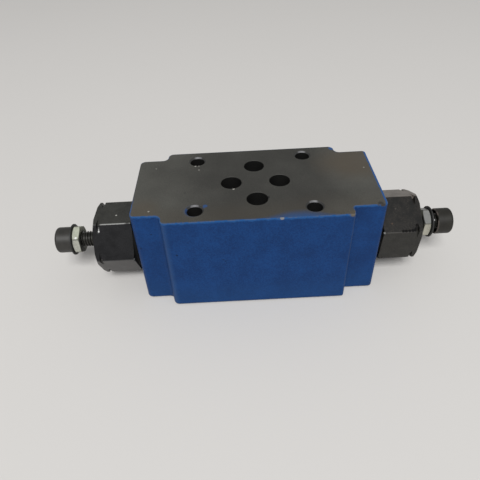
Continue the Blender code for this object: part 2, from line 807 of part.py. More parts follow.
def make_nut_washer(shop, side, axis):
    outer = WASHER_DIAMETER / 2
    profile = [
        (outer, side.washer_outer),
        (outer, side.washer_inner),
        (SCREW_HOLE_RADIUS, side.washer_inner),
        (SCREW_HOLE_RADIUS, side.washer_outer),
    ]
    shop.turned(f"{side.name}_nut_washer", profile, CAP_STEPS, axis, "black_plastic")


def make_screw_cap(shop, side, axis):
    """The push-on cap, and the ring on the thread that grips its mouth."""
    outer = CAP_DIAMETER / 2
    rounds = [pi / 2 * step / CORNER_STEPS for step in range(CORNER_STEPS + 1)]
    edge = [
        (
            outer - CAP_EDGE_RADIUS * (1 - sin(turn)),
            side.cap_end - CAP_EDGE_RADIUS * (1 - cos(turn)),
        )
        for turn in rounds
    ]
    profile = [
        (0.0, side.cap_end),
        *edge,
        (outer, side.cap_mouth + CAP_RIM_CHAMFER),
        (outer - CAP_RIM_CHAMFER, side.cap_mouth),
        (CAP_MOUTH_BORE / 2, side.cap_mouth),
        (CAP_MOUTH_BORE / 2, side.cap_mouth + CAP_MOUTH_DEPTH),
        (CAP_BORE / 2, side.cap_mouth + CAP_MOUTH_DEPTH),
        (CAP_BORE / 2, side.cap_floor),
        (0.0, side.cap_floor),
    ]
    shop.turned(f"{side.name}_screw_cap", profile, CAP_STEPS, axis, "black_plastic")
    ring_radius = SCREW_DIAMETER / 2 + SEAL_CLEARANCE + CAP_RING_CORD / 2
    shop.ring(f"{side.name}_cap_ring", ring_radius, CAP_RING_CORD, side.cap_ring_middle, axis, "rubber")


def make_cartridge(shop, side, axis):
    make_end_plug(shop, side, axis)
    make_adjusting_screw(shop, side, axis)
    make_throttle_spool(shop, side, axis)
    make_seat_sleeve(shop, side, axis)
    make_check_spring(shop, side, axis)
    make_lock_nut(shop, side, axis)
    make_nut_washer(shop, side, axis)
    make_screw_cap(shop, side, axis)


def make_axis(shop, side):
    """The cartridge's axis: an empty whose Z points outward. Every piece on it has its origin there."""
    axis = bpy.data.objects.new(f"{side.name}_cartridge_axis", None)
    shop.parts.objects.link(axis)
    axis.location = (BODY_MIDDLE_X, 0.0, AXIS_HEIGHT)
    axis.rotation_euler = (0.0, side.outward * pi / 2, 0.0)
    return axis


def settle(shop):
    """Fixes every part's shape as its own mesh, smooth but for its sharp edges."""
    bpy.context.view_layer.update()
    graph = bpy.context.evaluated_depsgraph_get()
    shapes = {obj: bpy.data.meshes.new_from_object(obj.evaluated_get(graph)) for obj in shop.parts.objects
              if obj.type == "MESH"}
    for obj, mesh in shapes.items():
        obj.modifiers.clear()
        mesh.name = obj.name
        obj.data = mesh
        mesh.shade_smooth()
        mesh.set_sharp_from_angle(angle=SMOOTH_ANGLE)


def main():
    clear_scene()
    shop = Workshop()
    axes = {side.name: make_axis(shop, side) for side in SIDES}
    make_body(shop, axes)
    make_port_seals(shop)
    for side in SIDES:
        make_cartridge(shop, side, axes[side.name])
    settle(shop)


main()
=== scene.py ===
"""A hydraulic sandwich valve with two throttle cartridges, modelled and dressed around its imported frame."""

import logging
from collections.abc import Callable, Sequence
from dataclasses import dataclass
from enum import Enum
from math import ceil, cos, pi, radians, sin, tan, tau
from typing import NamedTuple

import bpy
from mathutils import Matrix, Vector


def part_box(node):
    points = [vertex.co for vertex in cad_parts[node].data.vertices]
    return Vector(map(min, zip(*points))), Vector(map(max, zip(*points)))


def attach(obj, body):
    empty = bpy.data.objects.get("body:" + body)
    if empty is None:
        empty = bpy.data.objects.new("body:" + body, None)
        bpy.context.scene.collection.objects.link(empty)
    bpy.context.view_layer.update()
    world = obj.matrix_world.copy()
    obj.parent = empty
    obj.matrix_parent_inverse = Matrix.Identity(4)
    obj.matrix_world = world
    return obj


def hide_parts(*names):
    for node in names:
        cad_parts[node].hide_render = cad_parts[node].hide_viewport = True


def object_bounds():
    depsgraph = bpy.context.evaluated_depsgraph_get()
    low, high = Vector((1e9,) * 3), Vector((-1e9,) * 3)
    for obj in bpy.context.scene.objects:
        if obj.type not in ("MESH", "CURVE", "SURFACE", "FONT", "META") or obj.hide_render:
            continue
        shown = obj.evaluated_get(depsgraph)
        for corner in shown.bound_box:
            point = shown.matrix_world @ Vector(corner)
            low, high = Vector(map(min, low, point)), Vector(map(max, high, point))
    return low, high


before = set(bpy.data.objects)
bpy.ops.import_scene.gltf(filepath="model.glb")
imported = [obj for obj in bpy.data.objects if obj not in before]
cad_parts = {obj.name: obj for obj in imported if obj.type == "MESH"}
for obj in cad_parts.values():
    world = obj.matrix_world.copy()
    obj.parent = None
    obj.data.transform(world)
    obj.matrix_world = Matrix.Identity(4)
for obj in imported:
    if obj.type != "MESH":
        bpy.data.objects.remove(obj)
CAD_BOX = [list(corner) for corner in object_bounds()]

MM = 0.001
JOIN_DISTANCE = 0.002 * MM
ROUND_STEPS = 72
SMOOTH_ANGLE = radians(28)
LEVEL_NORMAL = 0.9
CHAMFER_NORMAL = 0.2
MIDDLE = 1.25 * MM
PLATE_LENGTH = 87.0 * MM
PLATE_WIDTH = 43.5 * MM
PLATE_HEIGHT = 40.0 * MM
AXIS_HEIGHT = 17.0 * MM
MOUTH_DEPTH = 1.7 * MM
NEAR = 0.1 * MM
IN_LEVEL = 0.01 * MM
CORD_STEPS = 20
PASSAGE_STEPS = 40
SCREW_STEPS = 64
HEX_STEPS = 96
WINDOW_STEPS = 32
FLANK_SLOPE = tan(radians(30))

log = logging.getLogger("sandwich_valve")

Colour = tuple[float, float, float]
Place = tuple[float, float, float]


class End(Enum):
    """The two ends of the valve, each with the direction of its cartridge along X."""

    LEFT = -1
    RIGHT = 1

    @property
    def label(self) -> str:
        """The word that the end's nodes start with."""
        return self.name.lower()


class Station(NamedTuple):
    """One ring of a turned piece: its radius, and its height along the axis."""

    radius: float
    height: float


class Skin(Enum):
    """The material slots of the valve body, in their order."""

    PAINT = 0
    GROUND = 1
    BORE = 2
    CHAMFER = 3


# How far a corner of each hexagon leans from straight up toward the near side, as the photograph shows
PLUG_CORNER = {End.LEFT: radians(29), End.RIGHT: radians(5)}
NUT_CORNER = {End.LEFT: radians(52), End.RIGHT: radians(60)}


def hex_corner(flats: float) -> float:
    """How far the corners of a hexagon are from its middle."""
    return flats / 2 / cos(pi / 6)


# Modelling tools


class Bench:
    """A modeller's bench: adds primitives and shapes them with Blender's own operators."""

    def clear(self) -> None:
        """Leaves edit mode and selects nothing."""
        if bpy.context.object and bpy.context.object.mode != "OBJECT":
            bpy.ops.object.mode_set(mode="OBJECT")
        bpy.ops.object.select_all(action="DESELECT")

    def hold(self, piece: bpy.types.Object) -> None:
        """Makes one piece the only selected and the active one."""
        self.clear()
        piece.select_set(True)
        bpy.context.view_layer.objects.active = piece

    def select(
        self, piece: bpy.types.Object, mode: str, wanted: Callable[[list[Vector]], bool]
    ) -> None:
        """Opens a piece in edit mode with some of its edges or faces selected.

        Args:
            piece: The piece to edit.
            mode: Either EDGE or FACE.
            wanted: Says from an element's corner points whether it is selected.
        """
        self.hold(piece)
        mesh = piece.data
        bpy.context.tool_settings.mesh_select_mode = (False, mode == "EDGE", mode == "FACE")
        bpy.ops.object.mode_set(mode="EDIT")
        bpy.ops.mesh.select_all(action="DESELECT")
        bpy.ops.object.mode_set(mode="OBJECT")
        for element in mesh.edges if mode == "EDGE" else mesh.polygons:
            element.select = wanted([mesh.vertices[index].co for index in element.vertices])
        bpy.ops.object.mode_set(mode="EDIT")

    def bevel(
        self, piece: bpy.types.Object, width: float, segments: int, wanted: Callable[[list[Vector]], bool]
    ) -> None:
        """Rounds or chamfers the edges that are wanted.

        Args:
            piece: The piece to shape.
            width: How far the bevel reaches along each face.
            segments: Steps across the bevel; one makes a chamfer.
            wanted: Says from an edge's two ends whether it is bevelled.
        """
        self.select(piece, "EDGE", wanted)
        bpy.ops.mesh.bevel(offset=width, offset_type="OFFSET", segments=segments, affect="EDGES")
        self.clear()

    def turned(
        self, name: str, stations: Sequence[Station], steps: int = ROUND_STEPS, hollow: bool = False
    ) -> bpy.types.Object:
        """Turns a round piece about Z, one extruded and scaled ring after another.

        Args:
            name: The piece's name.
            stations: The rings from the lower end to the upper end of the profile.
            steps: Facets round the axis.
            hollow: Joins the last ring to the first, instead of closing both ends.

        Returns:
            The closed piece.
        """
        self.clear()
        first = stations[0]
        bpy.ops.mesh.primitive_circle_add(
            vertices=steps, radius=first.radius, fill_type="NOTHING" if hollow else "NGON",
            enter_editmode=True,
        )
        piece = bpy.context.object
        piece.name = name
        bpy.ops.transform.translate(value=(0.0, 0.0, first.height))
        route = [*stations[1:], first] if hollow else stations[1:]
        last = first
        for station in route:
            rise = station.height - last.height
            bpy.ops.mesh.extrude_region_move(TRANSFORM_OT_translate={"value": (0.0, 0.0, rise)})
            share = station.radius / last.radius
            bpy.ops.transform.resize(value=(share, share, 1.0), center_override=(0.0, 0.0, station.height))
            last = station
        self.close_up(merge=hollow)
        self.clear()
        return piece

    def close_up(self, merge: bool = True) -> None:
        """Merges doubles in the edited piece and points its faces outward."""
        bpy.ops.mesh.select_all(action="SELECT")
        if merge:
            bpy.ops.mesh.remove_doubles(threshold=JOIN_DISTANCE)
        bpy.ops.mesh.normals_make_consistent(inside=False)

    def hex_bar(
        self, name: str, flats: float, low: float, high: float, turn: float, edge: float = 0.0
    ) -> bpy.types.Object:
        """A hexagonal bar about Z, its long edges slightly rounded.

        Args:
            name: The bar's name.
            flats: Distance across flats.
            low: Lower end.
            high: Upper end.
            turn: Where the first corner points, from X.
            edge: Width of the long edges' rounding.

        Returns:
            The bar.
        """
        self.clear()
        corner = hex_corner(flats)
        bpy.ops.mesh.primitive_cylinder_add(
            vertices=6, radius=corner, depth=high - low, location=(0.0, 0.0, (low + high) / 2),
            rotation=(0.0, 0.0, turn + pi / 6),
        )
        bar = bpy.context.object
        bar.name = name
        bpy.ops.object.transform_apply(location=True, rotation=True, scale=True)
        if edge:
            self.bevel(bar, edge, 2, lambda ends: abs(ends[0].z - ends[1].z) > (high - low) / 2)
        return bar

    def block(self, name: str, low: Place, high: Place) -> bpy.types.Object:
        """A block between two corners, as a cutter or as the stock of a piece."""
        self.clear()
        size = [top - bottom for bottom, top in zip(low, high)]
        middle = [(top + bottom) / 2 for bottom, top in zip(low, high)]
        bpy.ops.mesh.primitive_cube_add(size=1.0, location=middle, scale=size)
        block = bpy.context.object
        block.name = name
        bpy.ops.object.transform_apply(location=True, rotation=True, scale=True)
        return block

    def drill(self, name: str, start: Place, end: Place, diameter: float, steps: int) -> bpy.types.Object:
        """A plain drilled way from one point to another."""
        way = Vector(end) - Vector(start)
        drill = self.turned(
            name, [Station(diameter / 2, 0.0), Station(diameter / 2, way.length)], steps
        )
        self.place(drill, Matrix.Translation(start) @ way.to_track_quat("Z", "Y").to_matrix().to_4x4())
        return drill

    def thread(
        self, name: str, corners: Sequence[Station], pitch: float, low: float, turns: int, steps: int = 40
    ) -> bpy.types.Object:
        """A right-hand ridge wound about Z: the profile of a thread, swept and closed at both ends.

        Args:
            name: The ridge's name.
            corners: The profile's four corners, as radius and height from the ridge's middle.
            pitch: Rise for each turn.
            low: Height where the ridge starts.
            turns: Whole turns.
            steps: Facets for each turn.

        Returns:
            The closed ridge.
        """
        self.clear()
        bpy.ops.mesh.primitive_circle_add(vertices=len(corners), radius=pitch, fill_type="NOTHING")
        ridge = bpy.context.object
        ridge.name = name
        for vertex, corner in zip(ridge.data.vertices, corners):
            vertex.co = (corner.radius, 0.0, low + corner.height)
        screw = ridge.modifiers.new("wind", "SCREW")
        screw.axis = "Z"
        screw.angle = tau
        screw.screw_offset = pitch
        screw.iterations = turns
        screw.steps = steps
        screw.render_steps = steps
        self.apply(ridge, screw)
        self.hold(ridge)
        bpy.ops.object.mode_set(mode="EDIT")
        bpy.ops.mesh.select_all(action="SELECT")
        bpy.ops.mesh.fill_holes(sides=len(corners))
        self.close_up(merge=False)
        self.clear()
        return ridge

    def apply(self, piece: bpy.types.Object, modifier: bpy.types.Modifier) -> None:
        """Applies one modifier."""
        self.hold(piece)
        bpy.ops.object.modifier_apply(modifier=modifier.name)

    def combine(
        self, piece: bpy.types.Object, tool: bpy.types.Object, operation: str = "DIFFERENCE"
    ) -> None:
        """Cuts a piece with a tool, joins it or keeps what they share, and throws the tool away.

        Args:
            piece: The piece to change.
            tool: The other closed shape.
            operation: DIFFERENCE, UNION or INTERSECT.
        """
        modifier = piece.modifiers.new(tool.name, "BOOLEAN")
        modifier.operation = operation
        modifier.solver = "MANIFOLD"
        modifier.object = tool
        self.apply(piece, modifier)
        bpy.data.objects.remove(tool, do_unlink=True)

    def place(self, piece: bpy.types.Object, matrix: Matrix) -> None:
        """Moves a piece and writes the move into its mesh."""
        self.hold(piece)
        piece.matrix_world = matrix
        bpy.ops.object.transform_apply(location=True, rotation=True, scale=True)
        self.clear()

    def coat(self, piece: bpy.types.Object, *materials: bpy.types.Material) -> None:
        """Replaces the empty slots that cuts leave by the piece's materials."""
        piece.data.materials.clear()
        for material in materials:
            piece.data.materials.append(material)

    def smooth(self, piece: bpy.types.Object) -> None:
        """Shades a finished piece smooth apart from its sharp edges, with its large flats kept flat."""
        self.hold(piece)
        bpy.ops.object.shade_smooth_by_angle(angle=SMOOTH_ANGLE)
        weigh = piece.modifiers.new("flat_faces", "WEIGHTED_NORMAL")
        weigh.keep_sharp = True
        self.apply(piece, weigh)
        self.clear()


# Shader tools


class Field:
    """A number that varies over a surface: a socket that adds Math nodes as it is used."""

    def __init__(self, recipe: "Recipe", socket: bpy.types.NodeSocket) -> None:
        """Wraps a socket of the recipe's material."""
        self.recipe = recipe
        self.socket = socket

    def __add__(self, other: "Field | float") -> "Field":
        """The sum."""
        return self.recipe.math("ADD", self, other)

    def __sub__(self, other: "Field | float") -> "Field":
        """The difference."""
        return self.recipe.math("SUBTRACT", self, other)

    def __rsub__(self, other: float) -> "Field":
        """The difference from a number."""
        return self.recipe.math("SUBTRACT", other, self)

    def __mul__(self, other: "Field | float") -> "Field":
        """The product."""
        return self.recipe.math("MULTIPLY", self, other)

    def __truediv__(self, other: "Field | float") -> "Field":
        """The quotient."""
        return self.recipe.math("DIVIDE", self, other)

    __radd__ = __add__
    __rmul__ = __mul__

    def most(self, other: "Field | float") -> "Field":
        """The larger of two."""
        return self.recipe.math("MAXIMUM", self, other)

    def size(self) -> "Field":
        """The value without its sign."""
        return self.recipe.math("ABSOLUTE", self)

    def ease(self, low: float, high: float) -> "Field":
        """Rises smoothly from 0 at low to 1 at high, or falls where low is the higher of the two."""
        swap = low > high
        inputs = {
            "Value": self, "From Min": min(low, high), "From Max": max(low, high),
            "To Min": float(swap), "To Max": float(not swap),
        }
        node = self.recipe.node("ShaderNodeMapRange", {"interpolation_type": "SMOOTHSTEP"}, inputs)
        return Field(self.recipe, node.outputs[0])


Input = Field | bpy.types.NodeSocket | float | Sequence[float]


@dataclass(frozen=True)
class Mark:
    """A chip, fleck, smudge or painted glint at one place of a finish, given in millimetres."""

    place: Place
    radius: float
    colour: Colour
    strength: float = 1.0
    ragged: float = 0.5


class Recipe:
    """One material: adds nodes, wires them up and ends in a Principled shader."""

    def __init__(self, name: str, metallic: float = 0.0, specular: float = 0.5) -> None:
        """Starts the material.

        Args:
            name: The material's name.
            metallic: How metallic it is all over.
            specular: The strength of its plain reflection.
        """
        self.material = bpy.data.materials.new(name)
        self.material.use_nodes = True
        self.tree = self.material.node_tree
        self.shader = self.tree.nodes["Principled BSDF"]
        self.shader.inputs["Metallic"].default_value = metallic
        self.shader.inputs["Specular IOR Level"].default_value = specular
        self.point = self.node("ShaderNodeTexCoord").outputs["Object"]
        axes = self.node("ShaderNodeSeparateXYZ", inputs={"Vector": self.point})
        self.x, self.y, self.z = (Field(self, socket) for socket in axes.outputs)

    def node(
        self,
        kind: str,
        settings: dict[str, object] | None = None,
        inputs: dict[str | int, Input] | None = None,
    ) -> bpy.types.Node:
        """Adds any node.

        Args:
            kind: The node's type.
            settings: Its own settings, such as an operation, set before its sockets.
            inputs: A value, a link or a field for each named or numbered socket.

        Returns:
            The node.
        """
        node = self.tree.nodes.new(kind)
        for key, value in (settings or {}).items():
            setattr(node, key, value)
        for key, value in (inputs or {}).items():
            self.feed(node.inputs[key], value)
        return node

    def feed(self, socket: bpy.types.NodeSocket, value: Input) -> None:
        """Links a field or a socket to an input, or writes a plain value there."""
        if isinstance(value, Field):
            self.tree.links.new(value.socket, socket)
        elif isinstance(value, bpy.types.NodeSocket):
            self.tree.links.new(value, socket)
        elif isinstance(value, Sequence) and socket.type == "RGBA":
            socket.default_value = (*value, 1.0)
        else:
            socket.default_value = value

    def math(self, operation: str, *values: Input) -> Field:
        """One Math node."""
        node = self.node("ShaderNodeMath", {"operation": operation}, dict(enumerate(values)))
        return Field(self, node.outputs[0])

    def noise(self, grain: float, detail: float = 2.0, rough: float = 0.5) -> Field:
        """Noise whose lumps are about as wide as grain, in metres, from 0 to 1."""
        node = self.node(
            "ShaderNodeTexNoise",
            inputs={"Vector": self.point, "Scale": 1.0 / grain, "Detail": detail, "Roughness": rough},
        )
        return Field(self, node.outputs[0])

    def distance(self, place: Place) -> Field:
        """How far each point lies from a place that is given in millimetres."""
        middle = tuple(value * MM for value in place)
        node = self.node("ShaderNodeVectorMath", {"operation": "DISTANCE"}, {0: self.point, 1: middle})
        return Field(self, node.outputs["Value"])

    def beyond(self, corner: float, axis_height: float) -> Field:
        """How far a point lies above the plane through a cartridge's axis and one corner of its hexagon."""
        return self.y * cos(corner) + (self.z - axis_height) * sin(corner)

    def from_axis(self, axis_height: float) -> Field:
        """How far a point lies from a cartridge's axis."""
        height = self.z - axis_height
        return self.math("SQRT", self.y * self.y + height * height)

    def mix(self, share: Input, first: Input, second: Input) -> bpy.types.NodeSocket:
        """A colour between two others."""
        node = self.node("ShaderNodeMix", {"data_type": "RGBA"}, {0: share, 6: first, 7: second})
        return node.outputs[2]

    def marks(self, colour: Input, marks: Sequence[Mark], wander: Field) -> Input:
        """Lays marks over a colour, their outlines made ragged by a noise."""
        for mark in marks:
            reach = mark.radius * MM
            shift = (wander - 0.5) * (2 * mark.ragged * reach)
            edge = (self.distance(mark.place) + shift).ease(reach, 0.6 * reach)
            colour = self.mix(edge * mark.strength, colour, mark.colour)
        return colour

    def coverage(self, marks: Sequence[Mark], wander: Field) -> Field:
        """Where marks lie, as a number from 0 to 1: white marks laid over black."""
        return self.math("MULTIPLY", self.marks((0.0, 0.0, 0.0), marks, wander), 1.0)

    def scaled(self, colour: Input, share: Field) -> bpy.types.NodeSocket:
        """A colour made darker or brighter by a share."""
        node = self.node("ShaderNodeVectorMath", {"operation": "SCALE"}, {0: colour, "Scale": share})
        return node.outputs[0]

    def finish(self, colour: Input, roughness: Input) -> bpy.types.Material:
        """Wires the colour and the roughness to the shader and hands over the material."""
        self.feed(self.shader.inputs["Base Color"], colour)
        self.feed(self.shader.inputs["Roughness"], roughness)
        return self.material

    def bump(self, height: Field, depth: float) -> None:
        """Raises the surface by a height from 0 to 1 times depth, in metres."""
        node = self.node("ShaderNodeBump", inputs={"Strength": 1.0, "Distance": depth, "Height": height})
        self.feed(self.shader.inputs["Normal"], node.outputs["Normal"])


# Finishes


@dataclass(frozen=True)
class SprayedPaint:
    """Blue satin paint, sprayed over the casting: orange peel, mottling, bright worn rims, a few chips, and
    painted highlights down the rounded step edges.
    """

    deep: Colour = (0.0015, 0.026, 0.108)
    light: Colour = (0.004, 0.044, 0.168)
    worn: Colour = (0.014, 0.084, 0.255)
    rubbed: Colour = (0.085, 0.100, 0.130)
    # Painted highlight colour for the rounded step edges of the near face.
    ridge: Colour = (0.024, 0.072, 0.185)
    foot: Colour = (0.007, 0.049, 0.155)
    bare: Colour = (0.040, 0.040, 0.036)
    dot: Colour = (0.001, 0.013, 0.046)
    iron: Colour = (0.12, 0.105, 0.085)
    dark_iron: Colour = (0.045, 0.038, 0.032)
    grey: Colour = (0.24, 0.23, 0.22)
    peel: float = 0.50 * MM
    dust: float = 0.22 * MM
    patch: float = 7.0 * MM
    ragged: float = 1.5 * MM
    top: float = PLATE_HEIGHT
    rim: float = 0.95 * MM
    step_edge_highlights: tuple[tuple[float, float, float], ...] = ((33.0, 0.9, 0.35), (-30.9, 2.0, 0.40))
    near_face: float = -PLATE_WIDTH / 2
    chips: tuple[tuple[float, float, float, float], ...] = (
        (31.9, -21.9, 40.0, 1.2), (32.8, -20.0, 40.0, 0.8),
    )

    def build(self) -> bpy.types.Material:
        """Makes the material."""
        recipe = Recipe("blue_sprayed_paint", specular=0.18)
        peel = recipe.noise(self.peel, 3.0, 0.55)
        dust = recipe.noise(self.dust, 2.0)
        patch = recipe.noise(self.patch, 3.0)
        wander = recipe.noise(self.ragged, 3.0, 0.6)
        shade = (peel * 0.65 + dust * 0.40 + patch * 0.45 - 0.25).ease(0.32, 0.70)
        colour = recipe.mix(shade, self.deep, self.light)
        colour = recipe.mix(recipe.z.ease(15.0 * MM, 1.0 * MM) * 0.35, colour, self.foot)
        # Painted highlight: lighter bands down the rounded step edges of the near face.
        for x, width, strength in self.step_edge_highlights:
            away = (recipe.x - x * MM).size() + (recipe.y - self.near_face).size()
            away = away + (wander - 0.5) * (0.5 * MM)
            colour = recipe.mix(away.ease(width * MM, 0.2 * width * MM) * strength, colour, self.ridge)
        colour = recipe.mix(dust.ease(0.64, 0.72) * 0.6, colour, self.dot)
        rim = (recipe.z + (wander - 0.5) * (1.3 * MM)).ease(self.top - self.rim, self.top - 0.4 * self.rim)
        colour = recipe.mix(rim * 0.8, colour, self.worn)
        edge = (recipe.z + (dust - 0.5) * (0.3 * MM)).ease(self.top - 0.25 * MM, self.top - 0.1 * MM)
        colour = recipe.mix(edge * wander.ease(0.40, 0.55) * 0.6, colour, self.rubbed)
        far = (recipe.y + (wander - 0.5) * (4.0 * MM)).ease(-11.0 * MM, -6.0 * MM)
        far_left = recipe.x.ease(-41.5 * MM, -42.2 * MM) * far
        colour = recipe.mix(far_left * rim, colour, self.bare)
        bare = [Mark((x, y, z), radius, self.iron) for x, y, z, radius in self.chips]
        bare += [
            Mark((42.9, -17.4, 40.0), 1.15, self.dark_iron),
            Mark((41.4, -17.6, 40.0), 0.7, self.dark_iron, 0.8),
            Mark((8.7, -21.85, 39.9), 0.85, self.grey, 0.9),
            Mark((-40.5, -17.3, 25.8), 0.45, self.dot, 0.9),
            Mark((-35.9, -17.3, 32.0), 0.40, self.dot, 0.8),
            Mark((-27.5, -21.75, 25.7), 0.50, self.dot, 0.9),
            Mark((-11.6, -21.75, 22.6), 0.45, self.dot, 0.6),
            Mark((-10.9, -21.75, 21.7), 0.40, self.dot, 0.6),
            Mark((-10.6, -21.75, 20.9), 0.35, self.dot, 0.5),
        ]
        colour = recipe.marks(colour, bare, dust)
        recipe.bump(peel * 0.75 + dust * 0.25, 0.035 * MM)
        return recipe.finish(colour, 0.42 + dust * 0.16)


@dataclass(frozen=True)
class GroundIron:
    """The ground and blackened faces: dark olive grey, fine speckle, faint brown tints and paint haze."""

    dark: Colour = (0.034, 0.0335, 0.030)
    pale: Colour = (0.088, 0.087, 0.077)
    brown: Colour = (0.082, 0.068, 0.050)
    haze: Colour = (0.018, 0.066, 0.190)
    bright: Colour = (0.012, 0.080, 0.26)
    fleck: Colour = (0.34, 0.33, 0.30)
    soot: Colour = (0.012, 0.012, 0.012)
    grain: float = 0.26 * MM
    speck: float = 0.13 * MM
    patch: float = 14.0 * MM
    ragged: float = 1.6 * MM
    near_edge: float = -PLATE_WIDTH / 2
    left_end: float = MIDDLE - PLATE_LENGTH / 2
    right_end: float = MIDDLE + PLATE_LENGTH / 2
    pale_middle: float = 3.0 * MM
    pale_reach: tuple[float, float] = (12.0 * MM, 42.0 * MM)
    far_tint: Place = (37.5, 9.5, 40.0)
    corner_tint: Place = (-39.0, -15.5, 40.0)
    haze_middle: float = 14.5 * MM

    def build(self) -> bpy.types.Material:
        """Makes the material."""
        recipe = Recipe("ground_iron_face", metallic=0.10, specular=0.30)
        grain = recipe.noise(self.grain, 3.0, 0.6)
        speck = recipe.noise(self.speck, 2.0, 0.6)
        patch = recipe.noise(self.patch, 2.0)
        wander = recipe.noise(self.ragged, 3.0, 0.6)
        ends = (recipe.x - self.pale_middle).size().ease(*self.pale_reach)
        shade = (grain * 0.60 + patch * 0.35 + speck * 0.55 - 0.25 + (ends - 0.5) * 0.22).ease(0.30, 0.78)
        colour = recipe.mix(shade, self.dark, self.pale)
        right = recipe.distance(self.far_tint) + (patch - 0.5) * (10.0 * MM)
        corner = recipe.distance(self.corner_tint) + (patch - 0.5) * (4.0 * MM)
        front = (recipe.y + (patch - 0.5) * (8.0 * MM)).ease(-8.0 * MM, -20.0 * MM)
        right = right.ease(17.0 * MM, 3.0 * MM) * 0.75
        corner = corner.ease(11.0 * MM, 2.0 * MM) * 0.6
        tint = right.most(corner).most(front * 0.25)
        colour = recipe.mix(tint, colour, self.brown)
        colour = self.overspray(recipe, colour, wander)
        colour = recipe.mix(speck.ease(0.70, 0.78) * 0.35, colour, self.fleck)
        colour = recipe.marks(colour, self.spots(), speck)
        recipe.bump(grain * 0.7 + speck * 0.3, 0.012 * MM)
        return recipe.finish(colour, 0.52 + grain * 0.16)

    def overspray(self, recipe: Recipe, colour: Input, wander: Field) -> Input:
        """Lays the blue haze along the near edge and the brighter lines along both end edges.

        Args:
            recipe: The material.
            colour: What the haze lies on.
            wander: A noise that makes its edges ragged.

        Returns:
            The hazy colour.
        """
        shift = (wander - 0.5) * (1.5 * MM)
        spread = (recipe.x - self.haze_middle).size().ease(14.0 * MM, 1.0 * MM)
        near = (recipe.y - self.near_edge + shift * 0.6) / (spread * (3.6 * MM) + 1.0 * MM)
        colour = recipe.mix(near.ease(1.0, 0.0) * (0.30 + spread * 0.55), colour, self.haze)
        right = (recipe.x + shift * 0.5).ease(self.right_end - 1.0 * MM, self.right_end - 0.45 * MM)
        left = (recipe.x + shift * 0.5).ease(self.left_end + 0.65 * MM, self.left_end + 0.2 * MM)
        left = left * recipe.y.ease(-4.0 * MM, -11.0 * MM)
        return recipe.mix(right.most(left * 0.6), colour, self.bright)

    def spots(self) -> tuple[Mark, ...]:
        """Paint smudges, bright nicks and dark flecks, each where the photograph shows it."""
        return (
            Mark((-20.7, -15.6, 40.0), 3.65, self.haze, 0.5, 0.12),
            Mark((-16.7, -13.2, 40.0), 0.95, self.haze, 0.85),
            Mark((-17.3, -14.1, 40.0), 0.6, self.haze, 0.6),
            Mark((32.4, 20.3, 40.0), 1.5, self.bright, 0.8),
            Mark((33.9, 18.0, 40.0), 0.9, self.haze, 0.6),
            Mark((32.0, -20.9, 40.0), 1.3, self.brown, 0.9),
            Mark((42.2, -16.6, 40.0), 1.2, self.soot, 0.6),
            Mark((-19.5, 9.4, 40.0), 0.36, self.fleck, 0.8),
            Mark((-35.8, 11.7, 40.0), 0.34, self.fleck, 0.7),
            Mark((-35.8, -14.7, 40.0), 0.42, self.fleck, 0.8),
            Mark((-6.8, -4.05, 40.0), 0.50, self.fleck),
            Mark((41.7, 5.6, 40.0), 0.34, self.fleck, 0.8),
            Mark((-20.9, 12.15, 40.0), 0.42, self.fleck),
            Mark((-19.6, 12.1, 40.0), 0.30, self.fleck, 0.7),
            Mark((-24.0, -5.0, 40.0), 0.4, self.soot, 0.6),
            Mark((5.1, -9.9, 40.0), 0.65, self.soot),
        )


@dataclass(frozen=True)
class MachinedMetal:
    """Bare or blackened machined metal: a mottled tone, small pits, and specks or marks, some of which are
    painted highlights.
    """

    name: str
    dark: Colour
    pale: Colour
    metallic: float = 1.0
    specular: float = 0.5
    roughness: float = 0.35
    spread: float = 0.12
    grain: float = 0.5 * MM
    depth: float = 0.006 * MM
    marks: tuple[Mark, ...] = ()

    def build(self) -> bpy.types.Material:
        """Makes the material."""
        recipe = Recipe(self.name, metallic=self.metallic, specular=self.specular)
        grain = recipe.noise(self.grain, 3.0, 0.6)
        fine = recipe.noise(self.grain / 4, 2.0, 0.6)
        patch = recipe.noise(self.grain * 9, 2.0)
        shade = (grain * 0.45 + patch * 0.45 + fine * 0.3 - 0.1).ease(0.3, 0.8)
        colour = recipe.mix(shade, self.dark, self.pale)
        colour = recipe.marks(colour, self.marks, fine)
        recipe.bump(grain * 0.6 + fine * 0.4, self.depth)
        sheen = self.roughness + (fine - 0.5) * self.spread + (patch - 0.5) * self.spread
        return recipe.finish(colour, sheen)


